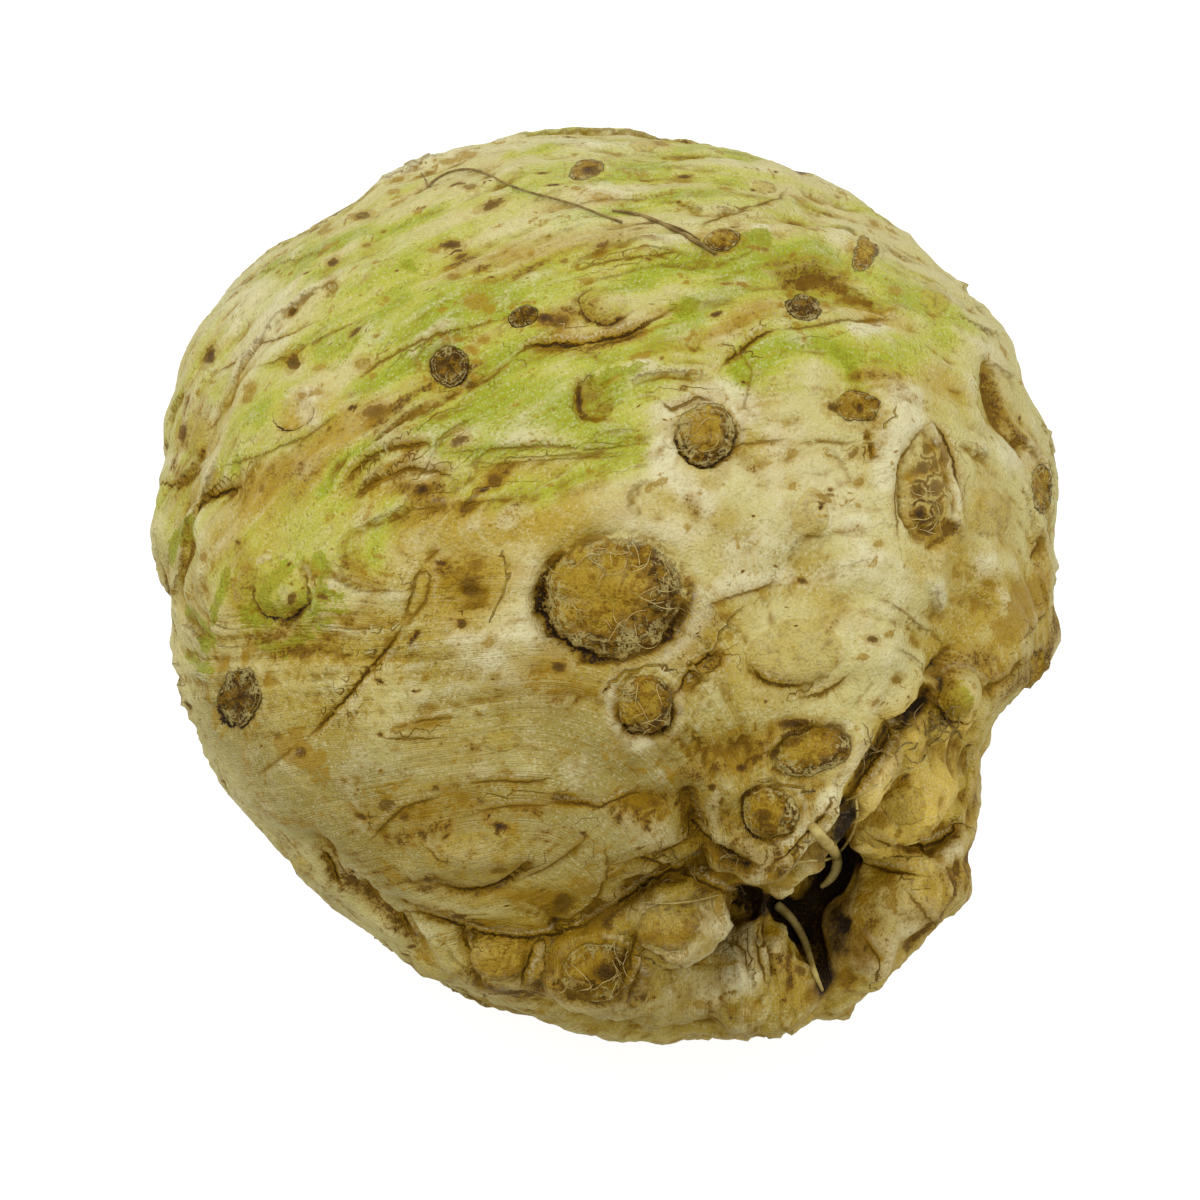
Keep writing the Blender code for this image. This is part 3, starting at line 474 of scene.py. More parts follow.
# Each row, under its tone: reach, amount, and then the places of its path.
SEEN_STROKES = tuple(Stroke(tone, pairs(row[2:]), *row[:2]) for tone, rows in (
    (GREEN, (
        (2.2, 1, 322, 352, 352, 334, 378, 318, 404, 300),
        (2.2, 0.6, 404, 300, 440, 286, 480, 292, 500, 300),
        (1.5, 0.9, 306, 254, 350, 238, 400, 228, 440, 212),
        (1.3, 0.5, 440, 212, 480, 200, 530, 186, 560, 178),
        (1.8, 0.8, 360, 392, 392, 376, 420, 352, 444, 340),
        (1.8, 0.9, 476, 396, 506, 372, 548, 356, 600, 358, 650, 348),
        (2.2, 1, 650, 348, 690, 322, 716, 296, 744, 272, 796, 252, 822, 246),
        (3.6, 1, 444, 428, 500, 408, 548, 396, 580, 420, 620, 440),
        (2.2, 0.5, 630, 400, 650, 378, 690, 352),
        (0.9, 1, 322, 492, 338, 466, 362, 450, 392, 440, 430, 428, 470, 402),
        (0.9, 0.9, 430, 456, 480, 450, 540, 444, 600, 446, 648, 440),
        (1.8, 0.85, 500, 498, 548, 492, 590, 472, 640, 452), (1.8, 0.45, 448, 482, 470, 494, 500, 500),
        (1.7, 0.8, 396, 508, 378, 530, 374, 558), (2.4, 0.75, 262, 584, 284, 588, 296, 600),
        (4, 0.35, 290, 560, 330, 540, 370, 560), (1.3, 0.6, 220, 468, 260, 450, 300, 440, 330, 416),
        (2.2, 0.4, 236, 420, 262, 408, 270, 440),
        (1.5, 0.8, 736, 366, 756, 346, 790, 340, 830, 344, 858, 356),
        (1.3, 0.8, 820, 346, 846, 366, 858, 384), (1.2, 0.7, 740, 384, 756, 366, 780, 350),
        (2.2, 0.55, 884, 356, 920, 348, 944, 340), (2.4, 0.4, 900, 300, 936, 296, 960, 320),
        (1.4, 0.6, 640, 276, 690, 268, 750, 250), (1.3, 0.75, 560, 222, 600, 214, 630, 208),
        (1.4, 0.6, 600, 180, 640, 168, 660, 166), (1.3, 0.5, 650, 200, 700, 194, 740, 180),
        (1.1, 0.7, 510, 154, 540, 150, 560, 142), (1.6, 0.35, 690, 150, 720, 142, 750, 162),
        (1.8, 0.5, 270, 270, 300, 262, 320, 276), (1.6, 0.4, 210, 330, 200, 350),
        (1.1, 0.8, 586, 300, 610, 292, 650, 286), (1.4, 0.6, 594, 320, 606, 312),
        (2.2, 1.1, 598, 402, 608, 392), (3, 0.25, 960, 372, 980, 400, 950, 420),
        (3.6, 0.3, 290, 500, 330, 520, 300, 540), (3.2, 0.75, 376, 336, 404, 322, 436, 308),
    )),
    (BROWN, (
        (1.8, 0.9, 950, 668, 930, 700, 900, 732, 864, 762, 850, 800),
        (2, 0.9, 890, 720, 926, 730, 940, 720), (1.5, 1, 870, 840, 910, 848, 950, 838),
        (2.2, 0.9, 940, 880, 966, 862, 976, 836), (1.8, 1, 860, 880, 870, 920, 854, 950),
        (2, 1, 690, 800, 700, 840, 740, 866), (2.2, 0.7, 620, 800, 670, 800, 690, 790),
        (2.2, 0.6, 620, 870, 680, 876, 740, 884), (2.2, 1, 560, 990, 600, 1000, 636, 990),
        (2, 1, 610, 956, 630, 974), (2, 0.8, 480, 980, 520, 996, 550, 984), (1.4, 1, 540, 940, 552, 970),
        (1.4, 0.9, 636, 940, 644, 970, 640, 1000), (1.1, 0.9, 430, 880, 480, 892, 530, 862),
        (1.6, 0.9, 420, 906, 500, 932, 580, 930, 640, 894, 700, 862),
        (2.4, 0.9, 1010, 690, 1050, 650, 1058, 610), (1.3, 0.6, 930, 430, 950, 460, 956, 500),
        (1.6, 0.9, 330, 856, 360, 890, 410, 930), (1, 0.2, 450, 100, 470, 98),
        (1.6, 0.6, 440, 790, 500, 806, 580, 800), (1.8, 0.5, 360, 860, 420, 886, 470, 900),
        (1.8, 0.5, 470, 800, 440, 820, 400, 812), (2, 0.4, 540, 700, 600, 690, 560, 672),
        (1.4, 0.6, 860, 394, 880, 420, 872, 450), (2.6, 0.5, 190, 400, 210, 440, 190, 480),
        (2.2, 0.5, 440, 380, 400, 410, 340, 430), (1.8, 0.6, 240, 548, 246, 572, 236, 600),
        (1.8, 0.55, 392, 836, 440, 824, 478, 812), (2.6, 0.4, 446, 812, 470, 830, 440, 850),
        (3, 0.6, 768, 790, 800, 810, 780, 830), (2.6, 0.8, 560, 960, 590, 950, 630, 950),
        (2.2, 0.5, 500, 690, 530, 676, 560, 660), (2.4, 0.3, 420, 750, 450, 758, 480, 752),
        (2.4, 0.6, 620, 812, 650, 818), (1.8, 1.1, 722, 846, 744, 858), (2.4, 0.6, 905, 905, 932, 922),
        (2.2, 0.8, 986, 682, 1010, 674, 1036, 656), (1.2, 0.8, 548, 318, 576, 312, 592, 318),
        (2.2, 0.8, 782, 272, 812, 272, 838, 280), (1.8, 0.35, 838, 290, 860, 306, 900, 306),
        (1.7, 0.5, 646, 350, 690, 344, 730, 330, 764, 306), (1, 0.9, 560, 352, 600, 346, 640, 336),
        (1.3, 0.9, 546, 322, 570, 312, 560, 330),
        (2.4, 0.45, 460, 268, 490, 262, 520, 250, 560, 244, 620, 238),
        (1.1, 0.6, 474, 282, 500, 280, 540, 262), (1.8, 0.6, 380, 430, 420, 412, 456, 386, 470, 372),
        (1.7, 0.6, 366, 400, 390, 410, 400, 430), (1.7, 0.55, 300, 448, 330, 432, 344, 420),
        (2.6, 0.6, 250, 492, 290, 470, 310, 466, 296, 490), (1, 0.7, 560, 496, 600, 482),
        (1.3, 0.7, 396, 520, 430, 508, 480, 506, 530, 500),
        (1.6, 0.55, 350, 486, 384, 470, 420, 462, 444, 470), (1.1, 1, 404, 490, 424, 492, 440, 486),
        (1.2, 0.7, 390, 446, 420, 446), (1.8, 1, 446, 570, 470, 580, 480, 600),
        (2.2, 0.4, 440, 600, 460, 550, 490, 590), (1.2, 0.6, 280, 650, 320, 646, 350, 620, 372, 600),
        (1.4, 0.7, 300, 620, 270, 636, 250, 640), (1.1, 0.9, 690, 584, 690, 604, 678, 620),
        (1.5, 0.6, 620, 672, 670, 648, 714, 616), (1.1, 0.9, 684, 690, 700, 672, 720, 656),
        (1.6, 0.85, 680, 776, 716, 768, 744, 756, 764, 748), (1.2, 0.4, 700, 740, 740, 736, 790, 728),
        (1.8, 0.6, 700, 800, 720, 800, 736, 836), (1.5, 0.5, 948, 676, 958, 656),
        (2, 1, 1020, 680, 1044, 660, 1052, 640), (1.5, 0.7, 990, 690, 1014, 690),
        (1.1, 1, 986, 376, 1000, 416, 1024, 440), (1.2, 0.8, 916, 520, 934, 540, 950, 530),
        (1.3, 0.6, 740, 450, 752, 466, 762, 480), (2.4, 0.35, 760, 400, 756, 420),
        (1, 0.8, 690, 500, 696, 516), (1.5, 0.7, 860, 380, 880, 374, 900, 384),
        (1.2, 0.35, 760, 380, 790, 386), (1.6, 0.6, 900, 740, 920, 736, 880, 760),
        (1.3, 0.9, 470, 936, 520, 934, 560, 936, 600, 922), (1.7, 0.6, 540, 890, 560, 912, 530, 900),
        (1.2, 0.6, 426, 890, 450, 892), (1, 0.5, 420, 800, 404, 822, 380, 836),
        (2, 0.7, 680, 876, 700, 884, 730, 898), (1.8, 0.6, 330, 870, 360, 884, 400, 914),
        (2.2, 0.9, 600, 960, 610, 990, 570, 986), (1.8, 0.6, 500, 950, 520, 976, 540, 990),
        (1.4, 0.35, 640, 990, 700, 1004, 740, 1016), (1.6, 0.7, 772, 930, 784, 956, 786, 990),
        (1.8, 0.7, 870, 940, 850, 980), (1.6, 0.8, 930, 930, 950, 900, 970, 870),
        (1.5, 0.8, 960, 800, 976, 800, 966, 820), (1.2, 0.6, 900, 804, 912, 820),
        (1.6, 0.6, 868, 800, 862, 830), (2, 0.6, 180, 440, 200, 430, 206, 450),
        (1.4, 0.5, 166, 500, 180, 490, 176, 470), (1.8, 0.5, 190, 560, 204, 590, 190, 596),
        (1.4, 0.45, 250, 560, 240, 590), (1.4, 0.4, 236, 290, 246, 280),
        (1.2, 0.3, 420, 190, 460, 180, 520, 150), (1.2, 0.4, 600, 200, 620, 204),
        (1.3, 0.7, 700, 240, 720, 250, 736, 236), (1, 0.4, 640, 232, 600, 240, 560, 244),
        (1.1, 0.5, 790, 505, 800, 520, 812, 530), (1.6, 0.3, 940, 550, 970, 546),
        (1, 0.4, 890, 630, 904, 614, 910, 600), (2, 0.4, 544, 640, 580, 672, 560, 680),
        (3, 0.5, 860, 900, 880, 940, 900, 970), (2.6, 0.3, 230, 540, 246, 566, 240, 590),
        (3, 0.6, 590, 962, 612, 976), (2.6, 0.45, 896, 880, 920, 910, 936, 900),
        # partly brown dirt, partly painted shade: the first stroke here and the first on the second line below
        # darken the underside of the front lobe, and the second stroke on that line darkens the fold by the
        # right lobe
        (1.8, 0.7, 740, 846, 760, 862, 790, 862), (4, 0.3, 640, 730, 680, 740),
        (2.6, 0.4, 226, 560, 246, 580), (1.3, 0.7, 764, 800, 756, 820, 770, 832),
        (2, 0.8, 736, 850, 756, 866, 776, 872), (2.6, 1, 880, 756, 900, 766, 888, 790),
        (2, 0.9, 946, 666, 968, 662, 988, 660), (1.8, 1.2, 946, 682, 948, 704, 962, 714),
        (2.4, 0.5, 560, 950, 600, 984, 626, 968), (2.4, 0.8, 920, 906, 930, 924, 912, 936),
        (2.4, 0.9, 796, 930, 804, 960), (2.6, 0.6, 604, 624, 632, 626, 650, 604),
        (1.6, 0.9, 420, 494, 440, 504), (0.9, 1, 594, 300, 592, 316, 604, 322),
        (1.6, 0.6, 588, 300, 612, 320), (3, 0.3, 420, 516, 470, 530, 500, 560),
        (5, 0.22, 380, 816, 460, 836, 540, 830), (3, 0.3, 230, 540, 250, 580, 230, 620),
    )),
    (WHITE, (
        (4, 0.6, 890, 770, 916, 790, 890, 810), (2.6, 0.4, 860, 850, 910, 860, 950, 850),
        (4, 0.6, 880, 900, 910, 930, 880, 950), (3, 0.5, 540, 990, 620, 1012, 700, 1000),
        (4, 0.6, 660, 930, 700, 960, 700, 990), (2.4, 0.5, 734, 550, 762, 560),
        (1.6, 0.5, 820, 574, 870, 570), (4, 0.5, 780, 460, 830, 480, 860, 520),
        (3.6, 0.4, 730, 470, 800, 500, 780, 540), (4, 0.6, 222, 300, 250, 290, 270, 330, 240, 350),
        (1.8, 0.6, 190, 400, 214, 420, 206, 460), (2.4, 0.5, 400, 170, 480, 150, 560, 140, 640, 150),
        (2.2, 0.4, 500, 230, 580, 214, 640, 190), (1.3, 0.5, 778, 888, 794, 890, 802, 866),
        (1.4, 0.4, 700, 306, 740, 284), (1.6, 1, 664, 444, 664, 470, 690, 490, 706, 506),
        (1.4, 1.1, 704, 396, 722, 388, 742, 398, 748, 416), (1.1, 0.8, 664, 420, 672, 406, 690, 398),
        (1.5, 1.1, 900, 398, 916, 404, 904, 430, 886, 456, 884, 480), (0.9, 1.2, 856, 328, 880, 326),
        (1.5, 0.6, 1004, 452, 1034, 458), (0.9, 0.5, 946, 470, 952, 520),
        (1.3, 0.8, 720, 590, 756, 582, 786, 574), (0.7, 0.7, 730, 548, 760, 536, 786, 548),
        (2.2, 0.55, 240, 320, 262, 300, 290, 296), (0.8, 0.7, 296, 300, 290, 308),
        (2.6, 0.5, 716, 916, 740, 940), (0.9, 0.7, 640, 746, 614, 722, 608, 692, 622, 668),
        (1.3, 0.8, 760, 870, 740, 840, 760, 832, 800, 846),
        (1.1, 0.9, 850, 770, 838, 790, 808, 826, 780, 856), (1.3, 0.7, 876, 740, 862, 752),
        (1.2, 0.5, 940, 790, 934, 830, 900, 832), (3.4, 0.35, 880, 500, 880, 560, 900, 600),
        (4, 0.25, 990, 560, 960, 600, 930, 560), (2.4, 0.5, 470, 860, 500, 860),
        (2.4, 0.5, 560, 640, 500, 630, 520, 600, 530, 560), (3, 0.4, 460, 660, 500, 670, 540, 690),
        (3, 0.35, 860, 640, 900, 650, 880, 690), (2.4, 0.4, 880, 930, 930, 920, 890, 900),
        (3.2, 0.3, 690, 960, 720, 980, 680, 1000), (1.4, 0.5, 960, 850, 976, 856),
        (2.4, 0.4, 640, 500, 620, 520, 700, 530), (1.4, 0.5, 380, 478, 410, 470, 430, 474),
        # partly pale skin, partly painted light: the first stroke below and all four on the two lines after it
        # lighten the right lobe, knobs and ledges of the lobes, and a gap among the lower lobes, where shade
        # falls
        (2.4, 0.7, 900, 780, 920, 776, 930, 790), (1.3, 0.9, 310, 396, 304, 410, 314, 420),
        (2.2, 0.8, 620, 896, 644, 906), (2.4, 0.7, 636, 956, 650, 976),
        (3.2, 0.9, 724, 920, 736, 944, 736, 970), (2.4, 0.9, 916, 850, 940, 858, 950, 846),
        (1.6, 0.6, 1040, 470, 1052, 490),
    )),
    (KHAKI, (
        (2.4, 0.6, 734, 545, 760, 566, 742, 580), (1.8, 0.6, 810, 575, 850, 575, 880, 570),
        (3.2, 0.8, 744, 556, 770, 562, 790, 552), (7, 0.9, 220, 720, 280, 800, 360, 860),
        (7, 0.8, 330, 760, 420, 830, 520, 820, 620, 830), (5, 1.05, 560, 720, 600, 760, 680, 780),
        (5, 0.5, 400, 830, 450, 836, 500, 850), (6, 0.5, 440, 680, 560, 700, 500, 740),
        (5, 0.35, 500, 1010, 600, 1020, 720, 1020), (5, 0.35, 690, 700, 740, 720, 790, 700),
        (5, 0.3, 200, 560, 190, 480),
    )),
    (OCHRE, (
        (2.4, 0.6, 520, 906, 560, 896, 600, 880), (2, 0.6, 860, 900, 880, 880),
        (1.8, 0.5, 930, 740, 950, 760), (2.6, 0.9, 1006, 630, 1030, 600, 1044, 590),
        (1.5, 1.2, 284, 748, 300, 756, 296, 740), (1, 0.9, 310, 768, 320, 756),
        (0.7, 0.9, 396, 728, 430, 722, 446, 718), (1.8, 0.6, 816, 750, 830, 744),
        (2, 0.6, 776, 806, 786, 820), (2.4, 0.9, 600, 590, 612, 604),
        (1, 0.9, 480, 936, 540, 938, 596, 926), (2, 0.7, 1016, 590, 1040, 606, 1020, 630),
        (1, 0.5, 910, 480, 930, 470), (1.6, 0.7, 600, 940, 580, 952),
        (1.5, 0.5, 690, 750, 740, 752, 760, 770), (1.3, 0.5, 560, 900, 540, 896),
        (1.5, 0.3, 640, 360, 700, 340), (2, 0.4, 470, 560, 470, 600), (1.6, 0.6, 430, 950, 436, 966),
        (2, 0.6, 740, 880, 700, 870), (1.6, 0.7, 770, 880, 796, 890),
    )),
    # painted shade, partly dirt: the dark strokes below lie in the deep hollow among the lobes and in the fold
    # above them, where shade falls
    (DARK, (
        (1, 0.8, 940, 672, 928, 696, 898, 732, 866, 758), (2.2, 1.1, 836, 912, 838, 946),
        (1.2, 0.8, 892, 738, 878, 760, 866, 780), (1.2, 0.8, 932, 664, 940, 684),
        (1.6, 0.7, 858, 940, 864, 964), (1.3, 0.8, 830, 830, 826, 850),
        (2.6, 1.6, 760, 896, 800, 916, 830, 890, 838, 850), (2.2, 1.4, 810, 930, 826, 960, 820, 984),
        (1.8, 1.4, 848, 816, 836, 850, 840, 880), (1.2, 1.4, 742, 900, 762, 910),
        (1.5, 0.9, 842, 812, 830, 836, 822, 860, 822, 890), (1.2, 0.9, 720, 856, 748, 866),
        (1.1, 0.8, 860, 780, 880, 756),
    )),
    (TAN, (
        (4, 0.7, 620, 740, 680, 760, 760, 700), (5, 0.9, 440, 620, 520, 690, 600, 690),
        (5, 0.9, 360, 840, 440, 830, 520, 860), (3, 0.8, 420, 800, 480, 790, 560, 800),
        (4, 0.7, 860, 360, 920, 370, 960, 400), (3, 0.6, 920, 560, 960, 540, 980, 500),
        (3.4, 0.7, 730, 590, 720, 640, 740, 690), (2.4, 0.4, 640, 500, 700, 520, 720, 560),
        (4, 0.4, 420, 700, 480, 720, 560, 740), (5, 1, 480, 940, 560, 950, 660, 940),
        (4, 0.6, 430, 830, 480, 850, 540, 840), (5, 1, 250, 500, 300, 480, 380, 500, 460, 520, 560, 516),
        (5, 0.9, 400, 560, 440, 600, 500, 580), (5, 0.8, 300, 660, 360, 640, 430, 650),
        (5, 0.8, 280, 700, 340, 740, 300, 780), (4, 0.8, 520, 680, 580, 690, 560, 660),
        (4, 0.7, 230, 480, 190, 500, 180, 580), (4, 0.9, 300, 420, 340, 440, 300, 460),
        (2.4, 0.6, 400, 400, 440, 380, 500, 350, 600, 336), (3, 0.8, 690, 620, 720, 600, 700, 660),
        (4, 0.8, 690, 740, 760, 740, 700, 780), (3, 0.5, 730, 430, 760, 400, 750, 370),
        (3, 0.7, 800, 300, 860, 300, 900, 310), (4, 1, 940, 640, 980, 600, 1020, 590),
        (4, 1, 1000, 660, 1040, 620, 1050, 560), (3, 0.5, 980, 470, 1010, 520, 1000, 560),
        (3, 0.8, 990, 380, 1010, 430, 1040, 470), (5, 0.8, 900, 760, 960, 780, 900, 810),
        (4, 0.8, 880, 880, 950, 880, 960, 840), (4, 0.7, 850, 940, 900, 960, 880, 1000),
        (6, 0.9, 700, 900, 760, 960, 720, 1000, 800, 1000), (3.6, 0.7, 480, 900, 560, 890, 620, 860),
        (4, 0.6, 640, 800, 700, 820, 660, 840), (4, 0.4, 200, 380, 230, 440, 200, 480),
        (2.6, 0.6, 440, 270, 500, 260, 580, 246, 660, 240), (3, 0.6, 700, 240, 790, 230, 850, 250),
        (2.6, 0.9, 660, 360, 700, 330, 770, 300), (3.4, 0.9, 220, 540, 250, 560, 250, 600),
        (3.6, 0.9, 420, 820, 470, 840, 420, 850), (3, 0.5, 720, 400, 750, 430, 780, 470),
        (3, 0.8, 330, 440, 300, 470, 260, 500), (3, 0.4, 800, 560, 820, 600, 860, 620),
        (5, 0.7, 520, 700, 560, 740, 600, 760), (4, 0.8, 220, 560, 260, 540, 240, 600),
        (2.4, 0.7, 700, 470, 690, 500, 720, 520), (4, 0.9, 940, 540, 960, 570, 990, 590),
        (7, 0.45, 200, 330, 240, 480, 210, 640, 260, 740), (4, 0.5, 400, 540, 470, 530, 540, 560),
        (4, 0.5, 560, 690, 600, 640, 700, 700, 740, 690), (5, 0.5, 300, 600, 340, 560, 420, 600),
        (5, 0.5, 330, 690, 390, 720, 460, 750), (4.5, 0.6, 290, 500, 360, 490, 450, 508),
        (2.6, 0.7, 670, 494, 700, 486), (3, 0.5, 560, 500, 640, 510, 700, 540),
        (2, 0.9, 770, 884, 796, 886, 800, 864),
    )),
    (OLIVE, (
        (1.4, 1.2, 172, 556, 178, 540, 192, 526), (1.4, 1, 188, 612, 200, 624, 212, 636, 200, 644),
        (1.2, 0.7, 188, 654, 200, 664, 210, 668), (0.9, 0.9, 214, 620, 222, 590, 226, 574),
        (1.9, 0.9, 250, 618, 276, 612, 300, 612, 312, 600), (1.2, 0.8, 258, 640, 284, 650, 300, 640),
        (1.3, 0.9, 284, 570, 270, 584, 262, 600), (1.3, 0.9, 680, 312, 690, 306),
        (1, 0.7, 404, 262, 416, 270), (0.5, 0.9, 450, 316, 456, 314),
        (0.8, 0.6, 330, 368, 346, 356, 360, 338), (1, 0.7, 594, 382, 612, 372, 640, 366),
        (1, 0.9, 836, 352, 848, 362, 856, 380), (0.8, 0.7, 736, 372, 744, 384),
        (1, 0.9, 318, 556, 326, 570, 322, 586), (1.6, 0.55, 300, 560, 340, 610, 300, 640),
        (1.2, 1.1, 728, 244, 748, 240, 764, 236), (2.2, 0.8, 950, 690, 964, 706),
    )),
) for row in rows)


@dataclass(frozen=True)
class Hidden:
    """How the marks that the photograph doesn't show are drawn by chance."""

    seed: int = 23
    seen_beyond: float = 0.08
    crown_clear: float = 26.0
    path_points: int = 10
    scars: int = 84
    flecks: int = 900
    creases: int = 120
    strokes: int = 150
    spiral: float = 137.508


# The skin as points


class Skin:
    """The skin's points in the face frame, with what is needed to find places and to measure from them."""

    def __init__(self, mesh: bpy.types.Mesh) -> None:
        """Reads the mesh.

        Args:
            mesh: the even, smooth skin, in metres.
        """
        self.mesh = mesh
        places = np.empty(len(mesh.vertices) * 3)
        mesh.vertices.foreach_get("co", places)
        self.points = SIGHT.to_face(places.reshape(-1, 3))
        ends = np.empty(len(mesh.edges) * 2, np.int64)
        mesh.edges.foreach_get("vertices", ends)
        self.edges = ends.reshape(-1, 2)
        self.links = np.bincount(self.edges.ravel(), minlength=len(self.points)).astype(float)
        self.settle()

    def settle(self) -> None:
        """Writes the points back to the mesh, and takes the normals and the tree from there."""
        places = SIGHT.from_face(self.points)
        self.mesh.vertices.foreach_set("co", places.astype(np.float32).ravel())
        self.mesh.update()
        normals = np.empty(len(self.points) * 3)
        self.mesh.vertex_normals.foreach_get("vector", normals)
        self.normals = normals.reshape(-1, 3) @ np.array(SIGHT.turn())
        faces = [tuple(face.vertices) for face in self.mesh.polygons]
        self.tree = BVHTree.FromPolygons(self.points.tolist(), faces)

    def eased(self, values: np.ndarray, times: int, share: float | np.ndarray = 0.5) -> np.ndarray:
        """Values moved towards the mean of their neighbours on the mesh.

        Args:
            values: one value or one point a vertex.
            times: how often.
            share: how far they go each time.

        Returns:
            The eased values.
        """
        flat = values.reshape(len(values), -1).copy()
        share = np.broadcast_to(share, len(values))[:, None]
        a, b = self.edges.T
        for _ in range(times):
            mean = np.empty_like(flat)
            for column in range(flat.shape[1]):
                total = np.bincount(a, flat[b, column], len(flat))
                total = total + np.bincount(b, flat[a, column], len(flat))
                mean[:, column] = total / self.links
            flat += share * (mean - flat)
        return flat.reshape(values.shape)

    def find(self, place: tuple) -> tuple[np.ndarray, np.ndarray]:
        """The point of the skin at a place, and the normal there.

        Args:
            place: two numbers as seen in the photograph, or three as a direction from the middle.

        Returns:
            The point and the normal, in the face frame.
        """
        if len(place) == 2:
            eye, towards = SIGHT.ray(place)
        else:
            towards = -Vector(place).normalized()
            eye = -towards * 2 * SIGHT.rest_height
        point, normal, _, _ = self.tree.ray_cast(eye, towards)
        if point is None:
            near = eye + towards * (1.0 if len(place) == 2 else SIGHT.rest_height)
            point, normal, _, _ = self.tree.find_nearest(near)
        return np.array(point), np.array(normal)

    def path(self, places: Iterable[tuple], step: float = 2.0) -> np.ndarray:
        """The points of the skin along a path of places, with more between them.

        Args:
            places: the places that the path goes through.
            step: about how far apart the points are, in millimetres.

        Returns:
            One point a row.
        """
        places = [np.array(p, float) for p in places]
        found = []
        for start, end in zip(places, places[1:]):
            size = SIGHT.mm_per_pixel if len(start) == 2 else SIGHT.rest_height
            count = max(1, round(np.linalg.norm(end - start) * size / step))
            found += [self.find(tuple(start + (end - start) * i / count))[0] for i in range(count)]
        found.append(self.find(tuple(places[-1]))[0])
        return np.array(found)

    def near(self, centre: np.ndarray, reach: float) -> np.ndarray:
        """The indices of the points within reach of a centre."""
        box = np.abs(self.points - centre).max(axis=1) < reach
        return np.nonzero(box)[0]

    def from_path(self, path: np.ndarray, reach: float) -> tuple[np.ndarray, np.ndarray, np.ndarray]:
        """How the points near a path lie to it.

        Args:
            path: one point a row.
            reach: how far from the path a point counts.

        Returns:
            The points' indices, their signed distances from the path, and the share of the path they are at.
        """
        above = self.points > path.min(axis=0) - reach
        below = self.points < path.max(axis=0) + reach
        index = np.nonzero((above & below).all(axis=1))[0]
        points, normals = self.points[index], self.normals[index]
        distance = np.full(len(index), np.inf)
        side = np.ones(len(index))
        along = np.zeros(len(index))
        count = len(path) - 1
        for i, (start, end) in enumerate(zip(path, path[1:])):
            step = end - start
            share = np.clip((points - start) @ step / max(step @ step, 1e-9), 0, 1)
            off = points - start - share[:, None] * step
            length = np.linalg.norm(off, axis=1)
            closer = length < distance
            distance = np.where(closer, length, distance)
            turned = np.einsum("ij,ij->i", off, np.cross(normals, step))
            side = np.where(closer, np.sign(turned + 1e-12), side)
            along = np.where(closer, (i + share) / count, along)
        within = distance < reach
        return index[within], (distance * side)[within], along[within]

    def write(self, name: str, values: np.ndarray) -> None:
        """Writes values to the mesh as an attribute of its points.

        Args:
            name: the attribute's name.
            values: three or four numbers a point.
        """
        kind, key = ("FLOAT_VECTOR", "vector") if values.shape[1] == 3 else ("FLOAT_COLOR", "color")
        attribute = self.mesh.attributes.new(name, kind, "POINT")
        attribute.data.foreach_set(key, values.astype(np.float32).ravel())


# The root


